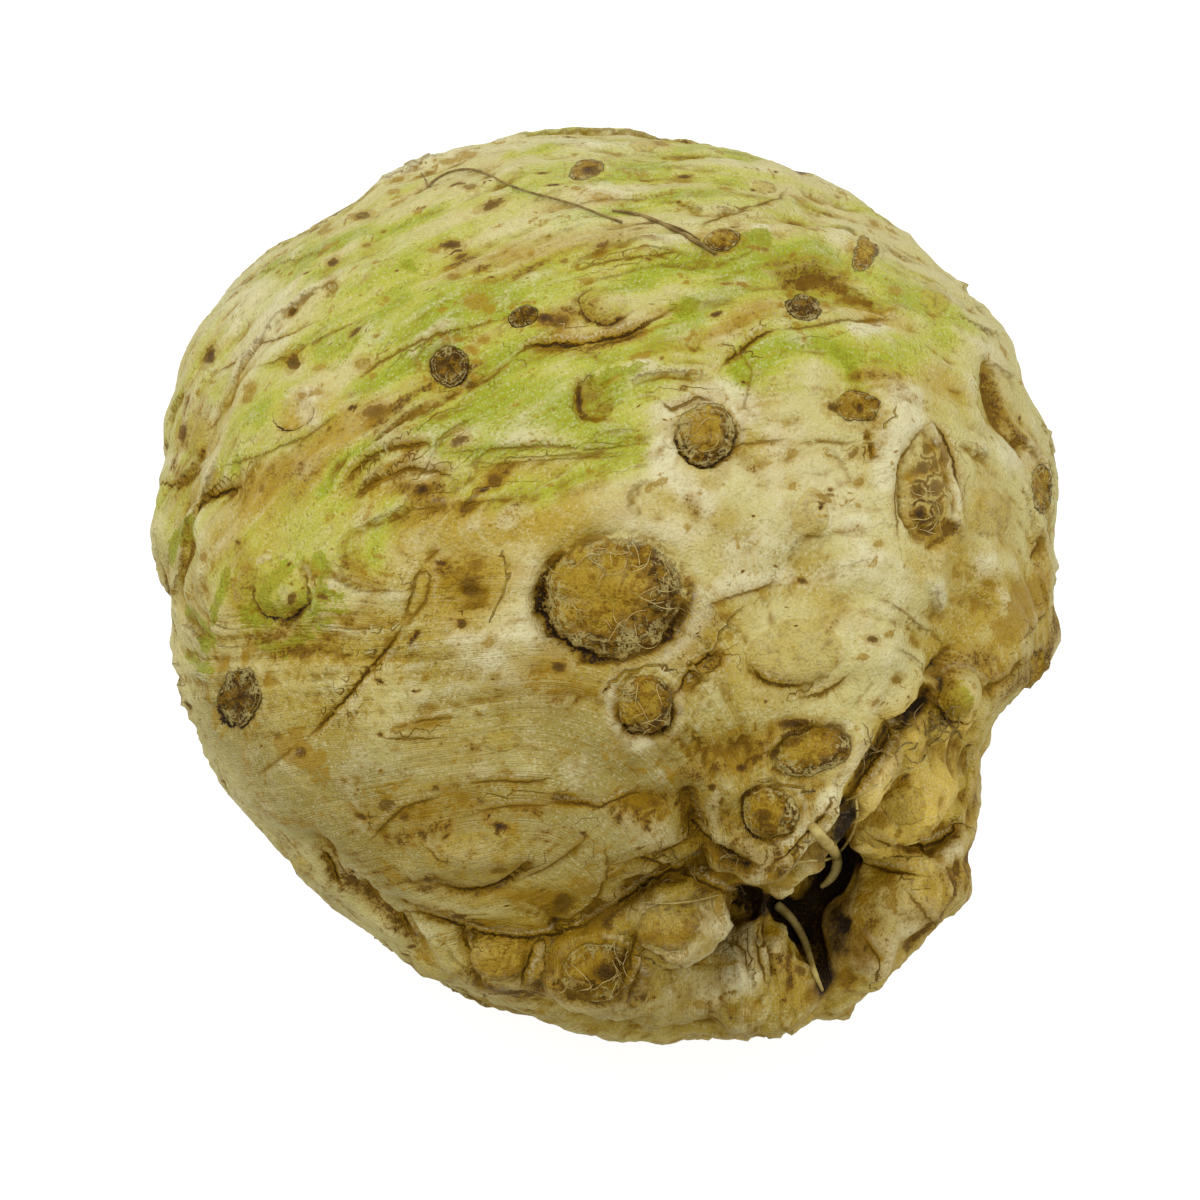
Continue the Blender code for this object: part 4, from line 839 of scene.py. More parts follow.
@dataclass
class Root:
    """The celeriac's skin: an even, fine copy of the solid, with its relief and its marks."""

    voxel: float = 0.83
    ease_times: int = 22
    ease_share: float = 0.6
    lobes_middle: Point = (790.0, 900.0)
    lobes_reach: float = 42.0
    lobes_core: float = 26.0
    green_down: float = 82.0
    # the right lobe, given a brighter, yellower ground: partly its own colour, partly painted light
    warm_middle: Point = (894.0, 812.0)
    warm_reach: Point = (12.0, 21.0)
    lobes_share: float = 0.12
    crown_reach: float = 32.0
    margin: float = 5e-5
    terrace_dark: float = 0.26
    spot_least: float = 7.5
    line_reach: float = 2.4
    hidden: Hidden = field(default_factory=Hidden)
    terraces: list = field(default_factory=list)
    all_scars: list = field(default_factory=lambda: list(SEEN_SCARS))
    all_spots: list = field(default_factory=lambda: list(SEEN_SPOTS))
    all_creases: list = field(default_factory=lambda: list(SEEN_CREASES))
    all_strokes: list = field(default_factory=lambda: list(SEEN_STROKES))

    def build(self) -> tuple[bpy.types.Object, Skin]:
        """Makes the skin.

        Returns:
            The object, and its points as a Skin, in their finished places.
        """
        obj = self.even_copy()
        skin = Skin(obj.data)
        self.soften(skin)
        self.draw_hidden(skin)
        flow = self.flow(skin)
        rise = self.broad_relief(skin, flow)
        skin.points += skin.normals * rise[:, None]
        skin.settle()
        scar_place, scar_look, off_scars, rise = self.scars(skin)
        spot_place, spot_look, dips = self.spots(skin)
        lines, folds = self.creases(skin, off_scars)
        base = skin.points.copy()
        rise += dips + folds + self.fine_relief(skin, flow, scar_look[:, 0])
        skin.points = base + skin.normals * rise[:, None]
        self.keep_in_box(skin)
        tones = self.tones(skin, flow, scar_look[:, 0])
        skin.write("scar_place", scar_place)
        skin.write("scar_look", scar_look)
        skin.write("spot_place", spot_place)
        skin.write("spot_look", spot_look)
        skin.write("line", lines)
        # painted light in part: where the right lobe's ground turns a brighter butter yellow
        warmth_and_light = self.nearness(skin, self.warm_middle, *self.warm_reach)
        skin.write("warmth_and_light", np.repeat(warmth_and_light[:, None], 3, axis=1))
        skin.write("flow", flow)
        skin.write("tones", tones[:, :4])
        skin.write("shades", tones[:, 4:])
        obj.data.shade_smooth()
        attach(obj, "root")
        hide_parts(NODE)
        log.info("%s: %d faces", obj.name, len(obj.data.polygons))
        return obj, skin

    def even_copy(self) -> bpy.types.Object:
        """A copy of the solid with one even net of small faces all over."""
        bm = bmesh.new()
        bm.from_mesh(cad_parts[NODE].data)
        bmesh.ops.remove_doubles(bm, verts=bm.verts[:], dist=1e-7)
        mesh = bpy.data.meshes.new("celeriac_skin")
        bm.to_mesh(mesh)
        bm.free()
        obj = bpy.data.objects.new("celeriac_skin", mesh)
        bpy.context.scene.collection.objects.link(obj)
        even = obj.modifiers.new("even", "REMESH")
        even.mode = "VOXEL"
        even.voxel_size = self.voxel * MM
        bpy.context.view_layer.update()
        graph = bpy.context.evaluated_depsgraph_get()
        obj.data = bpy.data.meshes.new_from_object(obj.evaluated_get(graph))
        obj.modifiers.clear()
        bpy.data.meshes.remove(mesh)
        return obj

    def soften(self, skin: Skin) -> None:
        """Takes the facets out of the skin, most of all away from the lobes and the crown's leaf stalks."""
        kept = np.zeros(len(skin.points))
        for place, reach in ((self.lobes_middle, self.lobes_reach), (tuple(CROWN), self.crown_reach)):
            kept = np.maximum(kept, self.nearness(skin, place, reach * 0.7, reach))
        share = self.ease_share * (1 - kept) + self.lobes_share * kept
        skin.points = skin.eased(skin.points, self.ease_times, share)
        skin.settle()

    def draw_hidden(self, skin: Skin) -> None:
        """Draws by chance the marks of the sides that the photograph doesn't show."""
        draw = random.Random(self.hidden.seed)
        side, other = CROWN.orthogonal().normalized(), CROWN.cross(CROWN.orthogonal().normalized())
        kinds = [SMALL_PLUG, SCAB, FAINT, CRUST, PIT, FAINT, KNOB]

        def spread(count: int, start: float) -> Iterable[Vector]:
            """Even directions all round that the photograph doesn't show."""
            for i in range(count):
                out = 1 - 2 * (i + 0.5) / count
                turn = math.radians(self.hidden.spiral * i) + start
                round_ = math.sqrt(1 - out * out)
                towards = Vector((round_ * math.cos(turn), round_ * math.sin(turn), out))
                towards = (towards + Vector([draw.uniform(-0.06, 0.06) for _ in range(3)])).normalized()
                if out < self.hidden.seen_beyond:
                    yield towards

        def ring_path(towards: Vector, sweep: float, wave: float) -> tuple:
            """A wavy path round the crown's axis that starts in a direction."""
            down = towards.angle(CROWN)
            start = math.atan2(towards.dot(other), towards.dot(side))
            places = []
            for i in range(self.hidden.path_points):
                tip = down + wave * math.sin(0.8 * i + start * 3) + 0.25 * wave * math.sin(2.1 * i)
                angle = start + sweep * i / (self.hidden.path_points - 1)
                spoke = side * math.cos(angle) + other * math.sin(angle)
                places.append(tuple(CROWN * math.cos(tip) + spoke * math.sin(tip)))
            return tuple(places)

        for towards in spread(self.hidden.scars, 0.3):
            near_crown = towards.angle(CROWN) < math.radians(self.hidden.crown_clear)
            kind = draw.choice(kinds)
            width = draw.uniform(3.2, 9.0) / SIGHT.mm_per_pixel
            turn = draw.uniform(0, 180)
            if not near_crown:
                shape = (width, width * draw.uniform(0.7, 1.0), turn, kind, draw.uniform(0, 360))
                self.all_scars.append(Scar(tuple(towards), *shape))
        for _ in range(self.hidden.flecks):
            out = draw.uniform(-1, 1)
            turn = draw.uniform(0, 2 * math.pi)
            round_ = math.sqrt(1 - out * out)
            place = (round_ * math.cos(turn), round_ * math.sin(turn), out)
            size = (0.4 + 1.7 * draw.random() ** 3) / SIGHT.mm_per_pixel
            tone = draw.uniform(0.35, 0.95)
            tall = size * draw.uniform(0.45, 0.9)
            self.all_spots.append(Spot(place, size * 1.25, tall, draw.uniform(-20, 50), tone))
        for towards in spread(self.hidden.creases, 2.0):
            path = ring_path(towards, math.radians(draw.uniform(8, 30)), math.radians(draw.uniform(0.5, 2.2)))
            numbers = [draw.uniform(*ends) for ends in ((0.1, 0.6), (0.4, 0.8), (0.2, 0.9), (0.15, 0.6))]
            self.all_creases.append(Crease(path, *numbers))
        for towards in spread(self.hidden.strokes, 0.7):
            path = ring_path(towards, math.radians(draw.uniform(6, 34)), math.radians(draw.uniform(0.5, 3.0)))
            crown = 1 - towards.angle(CROWN) / math.pi
            chances = [2.6 * max(0.0, crown - 0.35) * 2, 1.3, 0.8, 0.35, 0.8]
            tone = draw.choices([GREEN, BROWN, WHITE, OCHRE, KHAKI], chances)[0]
            self.all_strokes.append(Stroke(tone, path, draw.uniform(1.0, 3.4), draw.uniform(0.4, 0.95)))

    def flow(self, skin: Skin) -> np.ndarray:
        """Coordinates in which the streaks of the skin run straight.

        Returns:
            Two numbers along and one across the streaks for each point, in millimetres.
        """
        p = skin.points
        side = CROWN.orthogonal().normalized()
        other = CROWN.cross(side)
        waves = 5.0 * grain(p, 32.0, 1, 1) + 1.7 * grain(p, 11.0, 2, 1)
        low = ramp(-p[:, 1] + 0.25 * p[:, 0], -12, 46) * ramp(-p[:, 0], -34, 12) * ramp(p[:, 2], -30, 26)
        level = 102.0 - p[:, 1] * 0.95 - 0.12 * p[:, 0]
        across = from_crown(p) * (1 - low) - level * low + waves
        return np.column_stack((p @ np.array(side), p @ np.array(other), across))

    def broad_relief(self, skin: Skin, flow: np.ndarray) -> np.ndarray:
        """The broad rises and hollows of the skin, and its layers, like terraces round the crown."""
        p = skin.points
        rise = 0.75 * grain(p, 15.0, 3) + 0.5 * grain(p, 7.0, 4)
        crown = ramp(flow[:, 2], 20, 40)
        rise += crown * 0.5 * grain(flow, (30.0, 30.0, 5.5), 5, 2)
        lobes = self.nearness(skin, self.lobes_middle, self.lobes_core, 44)
        for seed, period, height in ((21, 10.5, 1.0), (24, 6.0, 0.6)):
            phase = (flow[:, 2] + 3.4 * grain(p, 12.0, seed)) / period + 0.5 * grain(p, 34.0, seed + 1)
            above = (1 - (phase - np.floor(phase))) * period
            patchy = ramp(grain(p, 17.0, seed + 2), 0.05, 0.5) * crown * (1 - lobes)
            rise += height * patchy * (np.exp(-above / 2.6) - 0.15)
            distance = np.where(above < period / 2, above, above - period)
            self.terraces.append((distance, self.terrace_dark * patchy))
        for swell in SEEN_SWELLS:
            index, distance, _ = skin.from_path(skin.path(swell.path), swell.reach * 2.4)
            rise[index] += swell.height * bell(distance, swell.reach)
        return rise

    def fine_relief(self, skin: Skin, flow: np.ndarray, scarred: np.ndarray) -> np.ndarray:
        """Wrinkles along the streaks, and crust on the lobes."""
        a, b = skin.edges.T
        steep = np.abs(flow[a, 2] - flow[b, 2]) / np.linalg.norm(skin.points[a] - skin.points[b], axis=1)
        steep = (np.bincount(a, steep, len(flow)) + np.bincount(b, steep, len(flow))) / skin.links * 1.57
        calm = (1 - 0.7 * np.clip(scarred, 0, 1)) * np.clip(1.2 / skin.eased(steep, 8), 0.2, 1)
        wrinkles = grain(flow, (11.0, 11.0, 1.9), 6, 2)
        ridges = 1 - 2 * np.abs(grain(flow, (20.0, 20.0, 3.4), 7, 2))
        low = ramp(-skin.points[:, 1], -4, 26)
        rise = calm * (0.26 + 0.16 * low) * wrinkles + calm * 0.26 * ridges
        lobes = self.nearness(skin, self.lobes_middle, self.lobes_core, 50)
        rise += lobes * (0.5 * grain(skin.points, 3.4, 8, 2) + 0.25 * grain(skin.points, 1.7, 9, 1))
        return rise + 0.14 * grain(skin.points, 1.7, 10, 2)

    def keep_in_box(self, skin: Skin) -> None:
        """Keeps the skin inside the solid's box, and flat where it rests."""
        skin.points = SIGHT.to_face(in_box(SIGHT.from_face(skin.points), self.margin))
        skin.settle()

    def local(
        self, skin: Skin, mark: Scar | Spot, reach: float
    ) -> tuple[np.ndarray, np.ndarray, np.ndarray]:
        """How the points near a mark lie to it.

        Args:
            skin: the skin.
            mark: the scar or spot.
            reach: how many of its radii count.

        Returns:
            The points' indices, and how far across and along it they lie, in its radii.
        """
        centre, normal = skin.find(mark.at)
        wide, tall = (max(s, 1.0) * SIGHT.mm_per_pixel / 2 for s in (mark.wide, mark.tall))
        index = skin.near(centre, max(wide, tall) * reach)
        near = skin.near(centre, max(1.5, 0.8 * min(wide, tall)))
        if len(near):
            normal = unit(skin.normals[near].mean(axis=0))
        turn = math.radians(mark.turn)
        across = np.array((math.cos(turn), math.sin(turn), 0.0))
        if abs(across @ normal) > 0.9:
            across = np.array((0.0, 0.0, 1.0))
        across = unit(across - normal * (across @ normal))
        along = np.cross(normal, across)
        off = skin.points[index] - centre
        if len(mark.at) == 2:
            sight = unit(centre - np.array((0.0, 0.0, SIGHT.distance)))
            off = off - np.outer(off @ sight, sight)
            right = unit(np.array((1.0, 0.0, 0.0)) - sight * sight[0])
            up = np.cross(-sight, right)
            up *= np.sign(up[1])
            across = right * math.cos(turn) + up * math.sin(turn)
            along = up * math.cos(turn) - right * math.sin(turn)
        facing = skin.normals[index] @ normal > 0.1
        return index[facing], (off @ across / wide)[facing], (off @ along / tall)[facing]

    def scars(self, skin: Skin) -> tuple[np.ndarray, np.ndarray, np.ndarray, np.ndarray]:
        """The root scars.

        Returns:
            Each point's place in its nearest scar with the scar's own number, that scar's look, how far the
            point lies off all scars, in their radii, and the relief.
        """
        count = len(skin.points)
        place = np.zeros((count, 3))
        look = np.zeros((count, 4))
        nearest = np.full(count, np.inf)
        rise = np.zeros(count)
        wobble = 0.22 * grain(skin.points, 3.0, 11, 2) + 0.08 * grain(skin.points, 1.1, 12, 1)
        crust = grain(skin.points, 1.7, 13, 2)
        for number, scar in enumerate(self.all_scars):
            kind = scar.kind.value
            index, u, v = self.local(skin, scar, 2.2)
            size = min(scar.wide, scar.tall) * SIGHT.mm_per_pixel / 2
            r = np.hypot(u, v)
            stretch = (r + wobble[index] * min(1.0, 2.0 / size)) / np.maximum(r, 1e-6)
            u, v = u * stretch, v * stretch
            r = np.maximum(np.hypot(u, v), 1e-3)
            scale = min(1.0, size / 3.2)
            wide = max(0.1, 0.42 / size)
            uneven = 0.65 + 0.7 * grain(np.column_stack((u / r, v / r, r)), (1.1, 1.1, 3.0), number + 31)
            gape = uneven + 0.5 * (np.cos(np.arctan2(v, u) - math.radians(scar.open)) - 0.2)
            shape = kind.lip * uneven * bell(r - 1.24, 0.2) - kind.ring * gape * bell(r - 0.97, wide)
            crusted = ramp(-r, -0.97, -0.86) * (0.35 + 0.65 * ramp(r, 0.35, 0.6))
            shape += kind.dome * np.clip(1 - r * r, 0, 1) ** 0.7 + kind.rough * crust[index] * crusted
            rings = bell(r - 0.62, 0.09) + 0.6 * bell(r - 0.82, 0.05)
            shape -= 0.3 * kind.ring * uneven * rings * min(1.0, size / 4)
            rise[index] += scale * shape * (1 - ramp(r, 1.5, 2.1))
            closer = (r < nearest[index]) & (r < 1.75)
            chosen = index[closer]
            nearest[chosen] = r[closer]
            place[chosen] = np.column_stack((u[closer], v[closer], np.full(closer.sum(), number * 3.7)))
            spin = np.arctan2(v, u)[closer] - math.radians(scar.open)
            varied = np.clip(0.5 + 0.5 * np.cos(spin) + 0.9 * (uneven[closer] - 0.65), 0.0, 1.4)
            tone = kind.tone + 0.12 * crust[chosen]
            gap, rim = kind.gap * varied, kind.rim * varied[::-1]
            look[chosen] = np.column_stack((np.ones(len(chosen)), tone, gap, rim))
        return place, look, np.minimum(nearest, 9.0), rise

    def spots(self, skin: Skin) -> tuple[np.ndarray, np.ndarray, np.ndarray]:
        """The small spots.

        Returns:
            Each point's place in its nearest spot, that spot's look, and the relief.
        """
        count = len(skin.points)
        place = np.zeros((count, 3))
        look = np.zeros((count, 4))
        nearest = np.full(count, np.inf)
        rise = np.zeros(count)
        for spot in self.all_spots:
            index, u, v = self.local(skin, spot, max(1.9, 2.6 * self.spot_least / max(spot.wide, spot.tall)))
            r = np.hypot(u, v)
            size = min(spot.wide, spot.tall) * SIGHT.mm_per_pixel / 2
            rise[index] -= min(0.45, 0.5 * size) * spot.tone * bell(r, 0.8)
            closer = (r < nearest[index]) & (r < max(2.2, 1.2 / size))
            chosen = index[closer]
            nearest[chosen] = r[closer]
            place[chosen] = np.column_stack((u[closer], v[closer], np.ones(closer.sum())))
            look[chosen] = (1.0, spot.tone, spot.ring, 1.0)
        return place, look, rise

    def creases(self, skin: Skin, off_scars: np.ndarray) -> tuple[np.ndarray, np.ndarray]:
        """The cracks and folds.

        Args:
            skin: the skin.
            off_scars: how far each point lies off the scars, in their radii.

        Returns:
            Each point's signed distance from its nearest crack, how dark that is, and whether it counts, and
            the relief.
        """
        count = len(skin.points)
        lines = np.zeros((count, 3))
        lines[:, 0] = 5.0
        nearest = np.full(count, np.inf)
        rise = np.zeros(count)
        for distance, dark in self.terraces:
            dark = dark * ramp(off_scars, 1.1, 1.6)
            chosen = (np.abs(distance) < np.minimum(nearest, self.line_reach)) & (dark > 0.02)
            nearest[chosen] = np.abs(distance[chosen])
            lines[chosen] = np.column_stack((distance, dark, np.ones(count)))[chosen]
        for crease in self.all_creases:
            index, distance, along = skin.from_path(skin.path(crease.path), 6.0)
            fade = np.clip(5 * np.minimum(along, 1 - along), 0, 1)
            step = np.where(distance > 0, np.exp(-np.abs(distance) / 2.2), 0.0) * ramp(distance, 0.0, 0.5)
            rise[index] += fade * (crease.fold * step - crease.depth * bell(distance, crease.width))
            closer = np.abs(distance) < np.minimum(nearest[index], self.line_reach)
            chosen = index[closer]
            nearest[chosen] = np.abs(distance[closer])
            dark = crease.dark * (0.25 + 0.75 * fade[closer])
            lines[chosen] = np.column_stack((distance[closer], dark, np.ones(closer.sum())))
        return lines, rise

    def tones(self, skin: Skin, flow: np.ndarray, scarred: np.ndarray) -> np.ndarray:
        """How much of each tone there is at each point, one column a tone.

        Args:
            skin: the skin.
            flow: its flow coordinates.
            scarred: one where a point lies in or near a scar.

        Returns:
            One row a point.
        """
        p = skin.points
        tones = np.zeros((len(p), len(Tone)))
        share = {tone: tones[:, tone.value] for tone in Tone}
        for stroke in self.all_strokes:
            index, distance, _ = skin.from_path(skin.path(stroke.path, 3.0), stroke.reach * 2.6)
            amount = stroke.amount * bell(distance, stroke.reach * 1.15)
            share[stroke.tone][index] = np.maximum(share[stroke.tone][index], amount)
        streak = grain(flow, (15.0, 15.0, 2.2), 51, 3)
        slow = grain(flow, (26.0, 26.0, 6.0), 52, 2)
        mottle = grain(p, 4.5, 53, 3)
        patch = grain(p, 12.0, 54, 2)
        front = p[:, 1] - 11.5 - 0.33 * p[:, 0]
        facing = ramp(p[:, 2], -14, 14)
        zone = ramp(front * facing + (self.green_down - from_crown(p)) * (1 - facing) + 9 * patch, -6, 15)
        creamy = ramp(-p[:, 0] + 0.3 * p[:, 1], 22, 50) * facing
        green = np.clip(0.45 - 0.15 * creamy + 0.9 * slow + 0.7 * streak + 0.25 * mottle, 0, 1)
        share[GREEN] += zone * green * 0.8
        # painted shade in part: the crevice depths darken hollows and folds with tan, brown and dark, partly
        # the dirt that lodges there and partly shade painted in; what stands out is made paler
        hollow = self.crevices(skin, 4) * 3.0
        basin = self.crevices(skin, 26) * (1 - 0.7 * scarred)
        valley = self.crevices(skin, 70) * (1 - 0.7 * scarred)
        low = ramp(-p[:, 1], 8, 40)
        lobes = self.nearness(skin, self.lobes_middle, self.lobes_core, 48)
        share[TAN] += np.clip(0.25 * patch + 0.4 * mottle + 0.25 * slow, 0, 0.7) * (1 - 0.6 * zone)
        share[TAN] += np.clip(basin * 1.1, 0, 0.7)
        share[TAN] += 0.65 * lobes + np.clip(valley * 0.45, -0.3, 0.5)
        share[KHAKI] += low * np.clip(0.3 + 0.5 * patch, 0, 1) * (1 - 0.9 * lobes)
        share[WHITE] += np.clip(-basin * 0.8 - valley * 0.12 + 0.5 * mottle - 0.02, 0, 0.8)
        stained = ramp(streak + 0.6 * mottle + 0.35 * low + 0.3 * basin, 0.42, 0.85)
        sunken = np.clip(basin * 0.6 + hollow * 0.5 - 0.1, 0, 0.8)
        share[BROWN] += 0.6 * stained + sunken * (1 - 0.3 * lobes)
        share[BROWN] += np.clip(valley * 0.5 - 0.12, 0, 0.9) * (0.45 + 0.15 * lobes)
        share[OCHRE] += 0.55 * ramp(grain(p, 3.4, 55, 3) + 0.25 * low, 0.42, 0.62)
        # painted light in part: the right lobe is kept yellower and brighter, with less white, brown and tan
        warm = self.nearness(skin, self.warm_middle, *self.warm_reach)
        share[WHITE] *= 1 - 0.3 * lobes - 0.4 * warm
        share[BROWN] *= 1 - 0.4 * warm
        share[TAN] *= 1 - 0.6 * warm
        # painted shade: dark laid into the finest crevices and the deeper hollows
        share[DARK] += np.clip(hollow, 0, 0.5) + np.clip(basin * 0.5 - 0.15, 0, 0.5)
        return tones

    @staticmethod
    def nearness(skin: Skin, place: tuple, full: float, none: float) -> np.ndarray:
        """How near each point is to a place.

        Args:
            skin: the skin.
            place: the place, as Skin.find takes it.
            full: up to what distance it is one, in millimetres.
            none: from what distance it is zero, in millimetres.

        Returns:
            One value a point.
        """
        return 1 - ramp(np.linalg.norm(skin.points - skin.find(place)[0], axis=1), full, none)

    def crevices(self, skin: Skin, times: int) -> np.ndarray:
        """How deep each point lies below the skin round it, in millimetres, negative on what stands out."""
        return np.einsum("ij,ij->i", skin.eased(skin.points, times) - skin.points, skin.normals)


# Finishes


class Sum:
    """A number that a shader works out, written as a Python expression."""

    def __init__(self, finish: "Finish", socket: bpy.types.NodeSocket) -> None:
        """Wraps one output socket."""
        self.finish = finish
        self.socket = socket

    def maths(self, operation: str, first: object, second: object = 0.0) -> "Sum":
        """Adds a Math node.

        Args:
            operation: what it does.
            first: its first value.
            second: its second value.

        Returns:
            Its result.
        """
        node = self.finish.node("ShaderNodeMath", {"operation": operation}, {0: first, 1: second})
        return Sum(self.finish, node.outputs[0])

    def __add__(self, other: object) -> "Sum":
        """This plus another."""
        return self.maths("ADD", self, other)

    __radd__ = __add__

    def __sub__(self, other: object) -> "Sum":
        """This less another."""
        return self.maths("SUBTRACT", self, other)

    def __rsub__(self, other: object) -> "Sum":
        """Another less this."""
        return self.maths("SUBTRACT", other, self)

    def __mul__(self, other: object) -> "Sum":
        """This times another."""
        return self.maths("MULTIPLY", self, other)

    __rmul__ = __mul__

    def __truediv__(self, other: object) -> "Sum":
        """This over another."""
        return self.maths("DIVIDE", self, other)

    def __abs__(self) -> "Sum":
        """This without its sign."""
        return self.maths("ABSOLUTE", self)

    def smooth(self, low: float, high: float) -> "Sum":
        """Zero below low, one above high, and smooth between, or the other way round where low is larger."""
        flip = low > high
        settings = {"interpolation_type": "SMOOTHSTEP"}
        ends = (1.0, 0.0) if flip else (0.0, 1.0)
        inputs = {0: self, 1: min(low, high), 2: max(low, high), 3: ends[0], 4: ends[1]}
        node = self.finish.node("ShaderNodeMapRange", settings, inputs)
        return Sum(self.finish, node.outputs[0])

    def bump(self, middle: float, spread: float) -> "Sum":
        """One at the middle, and none a spread away from it on either side."""
        return abs(self - middle).smooth(spread, 0.0)


class Finish:
    """A material that is being made, with the one method that adds its nodes."""

    def __init__(self, name: str) -> None:
        """Starts an empty material.

        Args:
            name: the finish's name.
        """
        self.material = bpy.data.materials.new(name)
        self.material.use_nodes = True
        self.tree = self.material.node_tree
        self.tree.nodes.clear()
        self.shader = self.tree.nodes.new("ShaderNodeBsdfPrincipled")
        output = self.tree.nodes.new("ShaderNodeOutputMaterial")
        self.tree.links.new(self.shader.outputs["BSDF"], output.inputs["Surface"])

    def node(self, kind: str, settings: dict, inputs: dict) -> bpy.types.Node:
        """Adds a node.

        Args:
            kind: its type.
            settings: its own values, set first.
            inputs: what goes into its sockets, by name or number: a value, a socket or a Sum.

        Returns:
            The node.
        """
        node = self.tree.nodes.new(kind)
        for key, value in settings.items():
            setattr(node, key, value)
        for key, value in inputs.items():
            self.feed(node.inputs[key], value)
        return node

    def feed(self, socket: bpy.types.NodeSocket, value: object) -> None:
        """Gives a socket its value or its link."""
        if isinstance(value, Sum):
            value = value.socket
        if isinstance(value, bpy.types.NodeSocket):
            self.tree.links.new(value, socket)
        elif isinstance(value, tuple) and len(value) == 3 and socket.type == "RGBA":
            socket.default_value = (*value, 1.0)
        else:
            socket.default_value = value

    def attribute(self, name: str) -> bpy.types.Node:
        """Reads an attribute of the mesh."""
        return self.node("ShaderNodeAttribute", {"attribute_name": name}, {})

    def parts(self, name: str) -> tuple[Sum, Sum, Sum]:
        """The three numbers of an attribute."""
        split = self.node("ShaderNodeSeparateXYZ", {}, {0: self.attribute(name).outputs["Vector"]})
        return tuple(Sum(self, split.outputs[i]) for i in range(3))

    def four(self, name: str) -> tuple[Sum, Sum, Sum, Sum]:
        """The four numbers of an attribute."""
        read = self.attribute(name)
        split = self.node("ShaderNodeSeparateColor", {}, {0: read.outputs["Color"]})
        return (*(Sum(self, split.outputs[i]) for i in range(3)), Sum(self, read.outputs["Alpha"]))

    def join(self, x: object, y: object, z: object) -> bpy.types.NodeSocket:
        """Three numbers as one vector."""
        return self.node("ShaderNodeCombineXYZ", {}, {0: x, 1: y, 2: z}).outputs[0]

    def scaled(self, vector: bpy.types.NodeSocket, scale: tuple) -> bpy.types.NodeSocket:
        """A vector times a scale."""
        inputs = {0: vector, 1: scale, 2: (0, 0, 0)}
        return self.node("ShaderNodeVectorMath", {"operation": "MULTIPLY_ADD"}, inputs).outputs[0]

    def cloud(self, vector: bpy.types.NodeSocket, scale: float, detail: float, rough: float) -> Sum:
        """Noise between none and one, about a half in the middle."""
        inputs = {"Vector": vector, "Scale": scale, "Detail": detail, "Roughness": rough}
        return Sum(self, self.node("ShaderNodeTexNoise", {}, inputs).outputs[0])

    def mix(self, amount: object, first: object, second: object) -> bpy.types.NodeSocket:
        """One colour laid over another.

        Args:
            amount: how much of the second shows.
            first: the colour below.
            second: the colour above.

        Returns:
            The mixed colour.
        """
        settings = {"data_type": "RGBA", "clamp_factor": True}
        return self.node("ShaderNodeMix", settings, {0: amount, 6: first, 7: second}).outputs[2]


